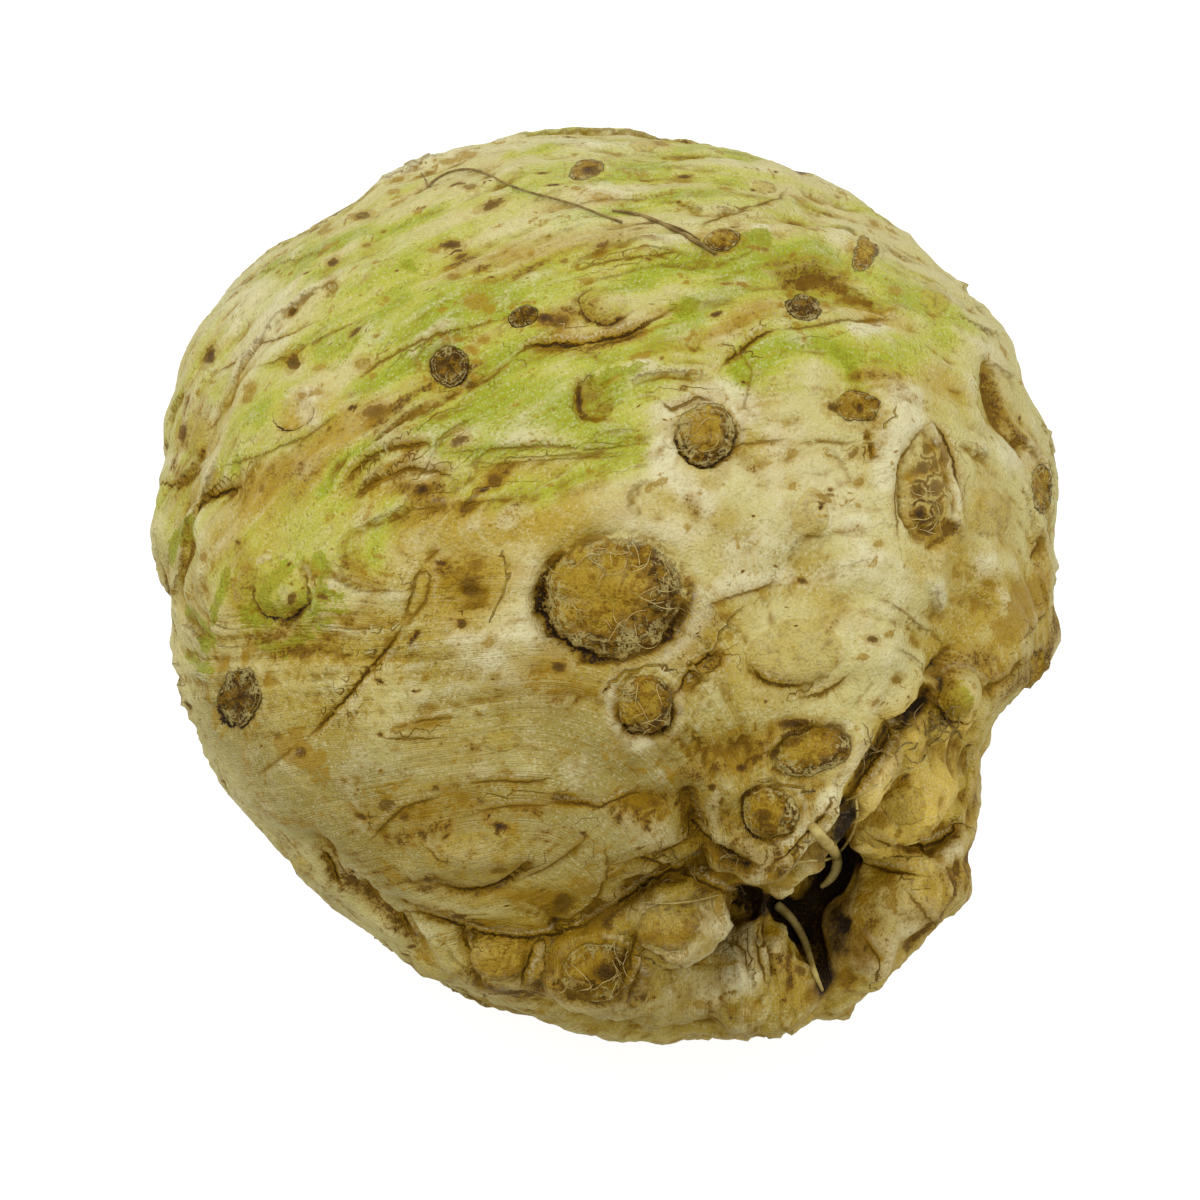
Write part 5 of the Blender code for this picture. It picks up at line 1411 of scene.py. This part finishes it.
@dataclass(frozen=True)
class RootSkin:
    """Waxy celeriac skin: cream to khaki, green towards the crown, stained brown, with crusted scars."""

    cream: Colour = (0.635, 0.57, 0.245)
    # butter: the right lobe's bright yellow, partly its own colour and partly painted light
    butter: Colour = (0.86, 0.63, 0.12)
    tan: Colour = (0.50, 0.355, 0.040)
    khaki: Colour = (0.36, 0.295, 0.085)
    lime: Colour = (0.50, 0.515, 0.052)
    leaf: Colour = (0.34, 0.40, 0.010)
    olive: Colour = (0.29, 0.29, 0.004)
    ochre: Colour = (0.37, 0.215, 0.003)
    brown: Colour = (0.235, 0.122, 0.002)
    umber: Colour = (0.085, 0.038, 0.001)
    black: Colour = (0.018, 0.008, 0.001)
    white: Colour = (0.78, 0.73, 0.50)
    amber: Colour = (0.30, 0.16, 0.004)
    crust: Colour = (0.52, 0.43, 0.17)
    honey: Colour = (0.385, 0.23, 0.011)
    waxy: float = 0.28
    dry: float = 0.78

    def make(self) -> bpy.types.Material:
        """Makes the material.

        Returns:
            It.
        """
        f = Finish("root_skin_looks")
        places = f.node("ShaderNodeTexCoord", {}, {}).outputs["Object"]
        mm = f.scaled(places, (1000.0, 1000.0, 1000.0))
        flow = f.attribute("flow").outputs["Vector"]
        fine = f.cloud(mm, 1 / 1.2, 2.0, 0.65)
        grit = f.cloud(mm, 1 / 0.36, 1.0, 0.6)
        thread = f.cloud(f.scaled(flow, (1 / 7.0, 1 / 7.0, 1 / 0.8)), 1.0, 1.0, 0.6)
        mess = fine * 0.8 + grit * 0.5 + thread * 0.5 - 0.9
        green, brown, white, khaki = f.four("tones")
        ochre, dark, tan, olive = f.four("shades")

        # the ground and its broad tones, with soft edges
        # painted light in part: the ground turns a bright butter yellow on the right lobe
        warm, _, _ = f.parts("warmth_and_light")
        ground = f.mix((warm + mess * 0.4 * warm).smooth(0.0, 0.9), self.cream, self.butter)
        colour = f.mix((tan + mess * 0.5 * tan.smooth(0.0, 0.3)).smooth(0.0, 1.0), ground, self.tan)
        colour = f.mix(khaki * 0.8 + mess * 0.3 * khaki, colour, self.khaki)
        lime = green + mess * 0.45 * green.smooth(0.0, 0.3)
        colour = f.mix(lime.smooth(0.05, 0.7) * 0.9, colour, self.lime)
        colour = f.mix(lime.smooth(0.55, 1.15) * 0.9, colour, self.leaf)
        pale = white + mess * 0.6 * white.smooth(0.0, 0.3)
        colour = f.mix(pale.smooth(0.05, 1.0) * 0.8, colour, self.white)

        # threads and grains of the skin
        coarse = (green + khaki + brown + tan * 0.7).smooth(0.15, 1.0)
        colour = f.mix(thread.smooth(0.57, 0.75) * (coarse * 0.30 + 0.06), colour, self.tan)
        flecked = thread.smooth(0.42, 0.28) * (coarse * 0.16 + 0.04) + grit.smooth(0.54, 0.72) * 0.42
        colour = f.mix(flecked, colour, self.white)
        colour = f.mix(fine.smooth(0.56, 0.72) * (coarse * 0.15 + 0.15), colour, self.tan)
        small = grit * 0.5 + fine * 0.5
        colour = f.mix(small.smooth(0.46, 0.32) * (coarse * 0.25 + 0.16), colour, self.ochre)

        # thin lines along the folds
        creased = abs(thread + (fine - 0.5) * 0.12 - 0.5).smooth(0.022, 0.0)
        creased = creased * (brown + dark).smooth(0.1, 0.6)
        colour = f.mix(creased * grit.smooth(0.35, 0.55) * 0.6, colour, self.brown)

        # stains, with crisper edges
        patches = f.mix(grit.smooth(0.45, 0.60), self.olive, self.leaf)
        colour = f.mix((olive + mess * 1.3).smooth(0.42, 0.56) * 0.9, colour, patches)
        stain = brown + mess * 1.1 * brown.smooth(0.0, 0.3)
        colour = f.mix(stain.smooth(0.05, 0.9) * 0.6, colour, self.ochre)
        colour = f.mix((stain + (grit - 0.5) * 0.5).smooth(0.5, 1.0) * 0.8, colour, self.brown)
        colour = f.mix((stain + (grit - 0.5) * 1.0).smooth(0.85, 1.2) * 0.8, colour, self.umber)
        rusty = ochre + mess * 1.2
        colour = f.mix(rusty.smooth(0.40, 0.62) * (grit * 0.6 + 0.45), colour, self.ochre)

        # painted shade and dirt in the folds, and the painted shade of the dark hollow
        dirt_and_shade = dark + (fine - 0.5) * 0.5
        colour = f.mix(dirt_and_shade.smooth(0.10, 0.75) * 0.8, colour, self.brown)
        colour = f.mix(dirt_and_shade.smooth(0.6, 1.2), colour, self.black)

        # scars
        near, tone, gap, rim = f.four("scar_look")
        near = near.smooth(0.9, 1.0)
        u, v, number = f.parts("scar_place")
        r = (u * u + v * v).maths("SQRT", u * u + v * v)
        ray = f.node("ShaderNodeVectorMath", {"operation": "NORMALIZE"}, {0: f.join(u, v, 0.0)}).outputs[0]
        split = f.node("ShaderNodeSeparateXYZ", {}, {0: ray})
        spin = f.join(Sum(f, split.outputs[0]) * 2.6, Sum(f, split.outputs[1]) * 2.6, number + r * 1.3)
        rays = f.cloud(spin, 1.0, 1.0, 0.7)
        edge = r + (fine - 0.5) * 0.22 + (grit - 0.5) * 0.14
        core = edge.smooth(0.98, 0.88) * near
        lumps = fine * 1.1 + grit * 0.5 + rays * 0.6 - 1.1
        off = (u + 0.22) * (u + 0.22) + (v - 0.14) * (v - 0.14) + (fine - 0.5) * 0.3
        plug = tone.bump(0.46, 0.24)
        sided = (off.smooth(0.15, 0.8) * 0.6 + (u - v) * 0.22) * plug
        shade = tone * 1.1 + lumps * 2.2 + edge * edge * 0.4 + sided - 0.17
        heart = f.mix(shade.smooth(0.15, 0.6), self.tan, self.amber)
        heart = f.mix((off + lumps * 0.6).smooth(0.5, 0.0) * plug * 0.7, heart, self.honey)
        heart = f.mix(shade.smooth(0.5, 0.95), heart, self.brown)
        heart = f.mix(shade.smooth(0.9, 1.35), heart, self.umber)
        flaky = (rays * 0.7 + grit * 0.6 - fine * 0.3).smooth(0.52, 0.64)
        heart = f.mix(flaky * tone.smooth(0.2, 0.5) * edge.smooth(0.2, 0.75) * 0.85, heart, self.crust)
        shell = edge.bump(0.87, 0.05) + edge.bump(0.72, 0.04) * 0.8
        shell = shell * rays.smooth(0.36, 0.52) * tone.smooth(0.3, 0.45)
        heart = f.mix(shell * 0.9, heart, self.crust)
        colour = f.mix(core * (tone.smooth(0.0, 0.45) * 0.8 + 0.2), colour, heart)
        lip = edge.bump(1.2, 0.26) * near * rim
        colour = f.mix((lip + lip * mess).smooth(0.1, 0.7) * 0.85, colour, self.white)
        halo = edge.bump(1.3, 0.5) * near * tone * rays.smooth(0.45, 0.62)
        colour = f.mix(halo * 0.8, colour, self.ochre)
        gaping = edge.bump(0.97, 0.085) * near * gap * (rays * 0.6 + 0.75)
        colour = f.mix(gaping.smooth(0.15, 0.75), colour, self.umber)
        colour = f.mix(gaping.smooth(0.6, 0.95), colour, self.black)

        # small spots
        spotted, spot_tone, spot_ring, _ = f.four("spot_look")
        su, sv, _ = f.parts("spot_place")
        sr = (su * su + sv * sv).maths("SQRT", su * su + sv * sv) + mess * 1.1
        inside = sr.smooth(1.05, 0.75) * spotted.smooth(0.9, 1.0)
        hole = inside * (1 - spot_ring * sr.smooth(0.62, 0.4))
        colour = f.mix(sr.bump(1.2, 0.45) * spotted * spot_tone * 0.6, colour, self.ochre)
        rust = f.mix(spot_tone.smooth(0.5, 0.85), self.ochre, self.brown)
        colour = f.mix(hole * (spot_tone * 0.5 + 0.5), colour, rust)
        deep = (sr + grit * 0.5).smooth(1.15, 0.6) * spot_tone.smooth(0.6, 0.95)
        colour = f.mix(hole * deep, colour, self.umber)
        colour = f.mix(hole * sr.smooth(0.4, 0.1) * spot_tone.smooth(0.8, 1.0) * 0.8, colour, self.black)

        # cracks, with brown above them where the skin folds, and a painted highlight along their upper lips
        away, black, there = f.parts("line")
        away = away + mess * 0.7
        black = black * there.smooth(0.9, 1.0)
        hair = abs(away).smooth(0.27, 0.03) * black
        soft = away.smooth(2.2, 0.0) * away.smooth(-0.8, 0.0) * black
        colour = f.mix(soft.smooth(0.0, 0.9) * 0.75, colour, self.ochre)
        # painted highlight: a pale rim along the upper lip of each crease
        pale = away.bump(0.85, 0.55) * black * grit.smooth(0.4, 0.6)
        colour = f.mix(pale * 0.55, colour, self.white)
        colour = f.mix(hair.smooth(0.05, 0.4) * 0.85, colour, self.brown)
        colour = f.mix(hair.smooth(0.38, 0.85) * 0.9, colour, self.umber)
        colour = f.mix(hair.smooth(0.75, 1.0) * 0.6, colour, self.black)

        colour = f.mix(small.smooth(0.47, 0.30) * (coarse * 0.26 + 0.1), colour, self.brown)
        f.feed(f.shader.inputs["Base Color"], colour)
        dull = stain * 0.4 + core * tone * 0.7 + khaki * 0.25 + dark * 0.4 + (fine - 0.5) * 0.6
        f.feed(f.shader.inputs["Roughness"], dull.smooth(0.0, 1.2) * (self.dry - self.waxy) + self.waxy)
        f.shader.inputs["Specular IOR Level"].default_value = 0.22

        # what is too fine for the mesh
        height = thread * (coarse * 0.34 + 0.06) + fine * 0.7 + grit * 0.4 - hair * 0.8
        height = height + core * (rays * 0.8 + fine * 1.5 + grit * 0.5) * tone
        bump = f.node("ShaderNodeBump", {}, {"Strength": 0.9, "Distance": 0.0007, "Height": height})
        f.feed(f.shader.inputs["Normal"], bump.outputs["Normal"])
        return f.material


@dataclass(frozen=True)
class Fibre:
    """Dry or fresh root fibre."""

    name: str
    light: Colour
    dark: Colour
    rough: float

    def make(self) -> bpy.types.Material:
        """Makes the material.

        Returns:
            It.
        """
        f = Finish(self.name)
        places = f.node("ShaderNodeTexCoord", {}, {}).outputs["Object"]
        mm = f.scaled(places, (1000.0, 1000.0, 1000.0))
        patch = f.cloud(mm, 1 / 2.2, 3.0, 0.6)
        grit = f.cloud(mm, 1 / 0.35, 2.0, 0.6)
        colour = f.mix((patch * 0.7 + grit * 0.3).smooth(0.38, 0.64), self.light, self.dark)
        f.feed(f.shader.inputs["Base Color"], colour)
        f.feed(f.shader.inputs["Roughness"], grit * 0.2 + self.rough)
        inputs = {"Strength": 0.5, "Distance": 0.0002, "Height": patch + grit * 0.5}
        bump = f.node("ShaderNodeBump", {}, inputs)
        f.feed(f.shader.inputs["Normal"], bump.outputs["Normal"])
        return f.material


# Rootlets and fibres


@dataclass(frozen=True)
class Strand:
    """One fibre: places as seen, each with its height over the skin, and its radii from start to end."""

    path: tuple
    radii: tuple
    heights: tuple


def smooth_line(points: Sequence[Vector], between: int) -> list[Vector]:
    """More points on a smooth line through the given ones.

    Args:
        points: the points that it goes through.
        between: how many steps each stretch gets.

    Returns:
        The line's points.
    """
    ends = [points[0] * 2 - points[1], *points, points[-1] * 2 - points[-2]]
    line = []
    for a, b, c, d in zip(ends, ends[1:], ends[2:], ends[3:]):
        for i in range(between):
            t = i / between
            square, cube = 2 * a - 5 * b + 4 * c - d, 3 * b - a - 3 * c + d
            line.append(0.5 * ((2 * b) + (c - a) * t + square * t * t + cube * t ** 3))
    return [*line, points[-1].copy()]


def add_strand(bm: bmesh.types.BMesh, line: Sequence[Vector], radii: Sequence[float], sides: int) -> None:
    """Adds one closed, tapering fibre to a mesh.

    Args:
        bm: the mesh.
        line: the fibre's middle line, in metres.
        radii: its radius at even shares of its length, in metres.
        sides: how many sides it has.
    """
    shares = np.linspace(0, 1, len(line))
    sizes = np.interp(shares, np.linspace(0, 1, len(radii)), radii)
    ring = bmesh.ops.create_circle(bm, segments=sides, radius=1.0, cap_ends=False)["verts"]
    shape = [v.co.copy() for v in ring]
    first = ring
    edges = list({e for v in ring for e in v.link_edges})
    for i, (place, size) in enumerate(zip(line, sizes)):
        ahead = line[min(i + 1, len(line) - 1)] - line[max(i - 1, 0)]
        turn = ahead.to_track_quat("Z", "Y").to_matrix()
        if i:
            made = bmesh.ops.extrude_edge_only(bm, edges=edges)["geom"]
            fresh = [v for v in made if isinstance(v, bmesh.types.BMVert)]
            edges = [e for e in made if isinstance(e, bmesh.types.BMEdge)]
            nearest = {v: min(range(sides), key=lambda k: (v.co - last[k]).length_squared) for v in fresh}
            ring = sorted(fresh, key=lambda v: nearest[v])
        for vertex, corner in zip(ring, shape):
            vertex.co = place + turn @ (corner * float(size))
        last = [v.co.copy() for v in ring]
    bmesh.ops.contextual_create(bm, geom=first)
    bmesh.ops.contextual_create(bm, geom=ring)


@dataclass
class Fibres:
    """The rootlets in the hollow, the dry fibre over the top, and the short hairs of folds and scars."""

    skin: Skin
    seed: int = 41
    between: int = 4
    smoothing: int = 3
    sides: int = 7
    hair_sides: int = 5
    fold_hairs: int = 46
    furrow_hairs: int = 22
    curl_steps: int = 4
    margin: float = 2e-4
    crusty: tuple = (
        ((617, 597), 60, 48, 34), ((647, 706), 26, 26, 12), ((598, 972), 30, 22, 16), ((706, 433), 24, 24, 8),
        ((925, 500), 16, 38, 10),
    )

    rootlets: tuple = (
        Strand(pairs((812, 826, 822, 838, 832, 848, 838, 858, 836, 872, 828, 882, 821, 887)),
               (0.62, 0.72, 0.7, 0.6, 0.3), (0.0, 1.2, 2.6, 3.4, 3.2, 2.6, 2.0)),
        Strand(pairs((777, 905, 792, 918, 804, 938, 810, 958, 816, 976, 822, 990)),
               (0.7, 0.55, 0.5, 0.35, 0.25), (0.6, 1.4, 1.8, 1.6, 0.8, 0.2)),
    )
    thin: tuple = (
        Strand(pairs((856, 798, 858, 816, 852, 836, 840, 852, 826, 861, 808, 860, 790, 864, 770, 872)),
               (0.16, 0.2, 0.2, 0.16, 0.12), (0.2, 2.0, 3.2, 3.8, 3.4, 2.0, 0.6, 0.1)),
        Strand(pairs((640, 902, 664, 904, 690, 902, 716, 896, 738, 888)),
               (0.1, 0.13, 0.1), (0.1, 0.5, 0.6, 0.4, 0.1)),
        Strand(pairs((846, 800, 858, 796, 870, 790, 878, 784)), (0.14, 0.16, 0.1), (0.1, 0.9, 1.0, 0.2)),
        Strand(pairs((884, 790, 900, 772, 914, 768)), (0.1, 0.13, 0.08), (0.1, 0.8, 0.1)),
    )
    dry: tuple = (
        Strand(pairs((421, 173, 426, 180, 427, 188, 432, 181, 445, 173, 460, 169, 475, 169, 490, 175, 505,
                      183, 520, 189, 540, 195, 560, 200, 580, 206, 600, 214, 622, 222)),
               (0.10, 0.16, 0.15, 0.15, 0.14, 0.15, 0.18),
               (0.7, 0.7, 0.6, 0.7, 0.8, 0.9, 0.9, 0.9, 0.8, 0.8, 0.7, 0.7, 0.6, 0.5, 0.3)),
        Strand(pairs((612, 210, 640, 214, 664, 224, 686, 236, 704, 246, 716, 254)),
               (0.16, 0.26, 0.30, 0.26, 0.16), (0.3, 0.5, 0.5, 0.5, 0.4, 0.2)),
        Strand(pairs((636, 224, 660, 222, 684, 230, 700, 240)), (0.12, 0.22, 0.14), (0.1, 0.3, 0.3, 0.1)),
    )

    def line(self, strand: Strand) -> list[Vector]:
        """The strand's middle line in the part's frame, in metres."""
        knots = np.arange(len(strand.path))
        steps = np.linspace(0, len(knots) - 1, (len(knots) - 1) * self.between + 1)
        seen = [np.interp(steps, knots, np.array(strand.path)[:, i]) for i in (0, 1)]
        heights = np.interp(steps, np.linspace(0, len(knots) - 1, len(strand.heights)), strand.heights)
        points = []
        for x, y, height in zip(*seen, heights):
            point, _ = self.skin.find((x, y))
            depth = point[2] + height
            eye, towards = SIGHT.ray((x, y))
            points.append(eye + towards * ((SIGHT.distance - depth) / SIGHT.distance))
        for _ in range(self.smoothing):
            inner = [(a + b * 2 + c) / 4 for a, b, c in zip(points, points[1:], points[2:])]
            points = [points[0], *inner, points[-1]]
        return smooth_line(self.placed(points, max(strand.radii)), 2)

    def placed(self, points: Sequence[Vector], radius: float) -> list[Vector]:
        """Points of the face frame in the part's frame, kept far enough in the solid's box for a radius."""
        return [Vector(p) for p in in_box(SIGHT.from_face(np.array(points)), radius * MM + self.margin)]

    def piece(self, name: str, lines: Sequence[tuple], sides: int, finish: Fibre) -> bpy.types.Object:
        """Makes one piece of several fibres.

        Args:
            name: the piece's name.
            lines: each fibre's line and radii, in metres.
            sides: how many sides each has.
            finish: what it is made of.

        Returns:
            The piece.
        """
        bm = bmesh.new()
        for line, radii in lines:
            add_strand(bm, line, radii, sides)
        bmesh.ops.recalc_face_normals(bm, faces=bm.faces[:])
        mesh = bpy.data.meshes.new(name)
        bm.to_mesh(mesh)
        bm.free()
        mesh.shade_smooth()
        mesh.materials.append(finish.make())
        obj = bpy.data.objects.new(name, mesh)
        bpy.context.scene.collection.objects.link(obj)
        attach(obj, "root")
        log.info("%s: %d faces", name, len(mesh.polygons))
        return obj

    def strands(self, strands: Iterable[Strand]) -> list[tuple]:
        """Lines and radii of strands, in metres."""
        return [(self.line(s), [r * MM for r in s.radii]) for s in strands]

    def curl(
        self, draw: random.Random, at: Point, length: float, lift: float, radius: float, bend: float
    ) -> tuple:
        """One short, curling hair.

        Args:
            draw: the source of chance.
            at: where it is rooted, as seen.
            length: its length in millimetres.
            lift: how far it stands off the skin in the middle, in millimetres.
            radius: its radius in millimetres.
            bend: how much it curls.

        Returns:
            Its line and radii, in metres.
        """
        angle = draw.uniform(0, 2 * math.pi)
        place = np.array(at, float)
        points = []
        for i in range(self.curl_steps + 1):
            share = i / self.curl_steps
            point, _ = self.skin.find(tuple(place))
            towards = unit(np.array((0.0, 0.0, SIGHT.distance)) - point)
            height = lift * math.sin(math.pi * min(1.0, share * 1.1 + 0.02)) + 0.05
            points.append(point + towards * height)
            angle += draw.uniform(-bend, bend)
            step = length / self.curl_steps / SIGHT.mm_per_pixel
            place = place + np.array((math.cos(angle), math.sin(angle))) * step
        radii = [radius * MM, radius * 1.1 * MM, radius * 0.5 * MM]
        return smooth_line(self.placed(points, radius), 3), radii

    def build(self) -> list[bpy.types.Object]:
        """Makes all fibres.

        Returns:
            The pieces.
        """
        draw = random.Random(self.seed)
        fresh = Fibre("fresh_rootlet", (0.56, 0.46, 0.17), (0.36, 0.26, 0.06), 0.5)
        dead = Fibre("dry_fibre", (0.34, 0.24, 0.08), (0.15, 0.09, 0.02), 0.7)
        pale = Fibre("pale_hair", (0.60, 0.48, 0.20), (0.38, 0.26, 0.07), 0.6)
        hairs, crusty = [], []
        for _ in range(self.fold_hairs):
            at = (draw.uniform(866, 962), draw.uniform(704, 756))
            if self.in_fold(at):
                hairs.append(self.curl(draw, at, draw.uniform(1.6, 4.2), draw.uniform(0.4, 1.4), 0.09, 0.9))
        for _ in range(self.furrow_hairs):
            at = (draw.uniform(620, 740), draw.uniform(856, 912))
            hairs.append(self.curl(draw, at, draw.uniform(1.2, 3.0), draw.uniform(0.2, 0.6), 0.07, 0.9))
        for centre, wide, tall, count in self.crusty:
            for _ in range(count):
                turn = draw.uniform(0, 2 * math.pi)
                out = draw.uniform(0.55, 1.02)
                at = (centre[0] + wide * out * math.cos(turn), centre[1] + tall * out * math.sin(turn))
                length = draw.uniform(1.4, 5.0)
                crusty.append(self.curl(draw, at, length, draw.uniform(0.2, 0.6), 0.05, 0.75))
        return [
            self.piece("rootlets", self.strands(self.rootlets), self.sides, fresh),
            self.piece("thin_roots", self.strands(self.thin), self.hair_sides, fresh),
            self.piece("dry_fibre", self.strands(self.dry), self.hair_sides, dead),
            self.piece("fold_hairs", hairs, self.hair_sides, dead),
            self.piece("scar_hairs", crusty, self.hair_sides, pale),
        ]

    @staticmethod
    def in_fold(at: Point) -> bool:
        """Whether a place lies in the fold above the right lobes."""
        middle = 760 - (at[0] - 866) * 0.42
        return abs(at[1] - middle) < 22


# The studio


@dataclass
class Studio:
    """A pale floor, soft light all round, three large lamps and the camera."""

    floor_size: float = 6.0
    floor_colour: Colour = (0.25, 0.25, 0.25)
    floor_glow: float = 0.93
    sky: float = 0.96
    horizon: float = 0.66
    ground: float = 0.46
    tint: Colour = (1.0, 0.97, 0.88)
    tints: tuple = ((1.0, 0.89, 0.56), (1.0, 0.965, 0.79), (1.0, 0.99, 0.94))
    lamp_size: float = 0.7
    lamps: tuple = (((-0.55, -0.75, 1.25), 5.6), ((1.3, -0.35, 0.05), 4.4), ((-1.25, -0.2, 0.0), 1.3))

    def build(self) -> None:
        """Makes the floor, the lights and the camera."""
        self.add_floor()
        self.add_world()
        for place, power in self.lamps:
            self.add_lamp(place, power)
        self.add_camera()

    def add_floor(self) -> None:
        """Makes the pale floor."""
        bm = bmesh.new()
        bmesh.ops.create_grid(bm, x_segments=1, y_segments=1, size=self.floor_size)
        mesh = bpy.data.meshes.new("floor")
        bm.to_mesh(mesh)
        bm.free()
        finish = Finish("floor")
        finish.shader.inputs["Base Color"].default_value = (*self.floor_colour, 1.0)
        finish.shader.inputs["Roughness"].default_value = 0.9
        finish.shader.inputs["Specular IOR Level"].default_value = 0.0
        finish.shader.inputs["Emission Color"].default_value = (1.0, 1.0, 1.0, 1.0)
        finish.shader.inputs["Emission Strength"].default_value = self.floor_glow
        mesh.materials.append(finish.material)
        floor = bpy.data.objects.new("floor", mesh)
        floor.visible_diffuse = False
        floor.visible_glossy = False
        bpy.context.scene.collection.objects.link(floor)

    def add_world(self) -> None:
        """Makes the soft light all round: most from above, least from below."""
        world = bpy.data.worlds.new("studio")
        world.use_nodes = True
        tree = world.node_tree
        tree.nodes.clear()
        coordinates = tree.nodes.new("ShaderNodeTexCoord")
        split = tree.nodes.new("ShaderNodeSeparateXYZ")
        shade = tree.nodes.new("ShaderNodeValToRGB")
        background = tree.nodes.new("ShaderNodeBackground")
        output = tree.nodes.new("ShaderNodeOutputWorld")
        stops = ((0.0, self.ground), (0.5, self.horizon), (1.0, self.sky))
        lift = tree.nodes.new("ShaderNodeMapRange")
        lift.inputs["From Min"].default_value = -1.0
        while len(shade.color_ramp.elements) < len(stops):
            shade.color_ramp.elements.new(0.5)
        for element, (place, value), tint in zip(shade.color_ramp.elements, stops, self.tints):
            element.position = place
            element.color = (*(value * part for part in tint), 1.0)
        tree.links.new(coordinates.outputs["Generated"], split.inputs[0])
        tree.links.new(split.outputs["Z"], lift.inputs["Value"])
        tree.links.new(lift.outputs[0], shade.inputs[0])
        tree.links.new(shade.outputs["Color"], background.inputs["Color"])
        tree.links.new(background.outputs[0], output.inputs["Surface"])
        bpy.context.scene.world = world

    def add_lamp(self, place: tuple, power: float) -> None:
        """Makes one large soft light.

        Args:
            place: where it is, in metres.
            power: its power in watts.
        """
        light = bpy.data.lights.new("soft", "AREA")
        light.energy = power
        light.size = self.lamp_size
        light.color = self.tint
        lamp = bpy.data.objects.new("soft", light)
        lamp.location = place
        aim = Vector((0, 0, SIGHT.rest_height * MM)) - Vector(place)
        lamp.rotation_euler = aim.to_track_quat("-Z", "Y").to_euler()
        bpy.context.scene.collection.objects.link(lamp)

    def add_camera(self) -> None:
        """Makes the camera at the photograph's view."""
        camera = bpy.data.cameras.new("camera")
        camera.lens = SIGHT.lens
        camera.sensor_width = SIGHT.sensor
        camera.shift_y = (SIGHT.middle[1] - SIGHT.picture / 2) / SIGHT.picture
        camera.clip_start = 0.01
        eye = bpy.data.objects.new("camera", camera)
        out = SIGHT.turn() @ Vector((0, 0, 1))
        eye.location = Vector((0, 0, SIGHT.rest_height * MM)) + out * SIGHT.distance * MM
        eye.rotation_euler = (-out).to_track_quat("-Z", "Y").to_euler()
        bpy.context.scene.collection.objects.link(eye)
        bpy.context.scene.camera = eye


def main() -> None:
    """Builds the root, its fibres and the studio."""
    logging.basicConfig(level=logging.INFO)
    bpy.context.scene.view_settings.view_transform = "Standard"
    root, skin = Root().build()
    root.data.materials.clear()
    root.data.materials.append(RootSkin().make())
    Fibres(skin).build()
    Studio().build()


if __name__ == "__main__":
    main()
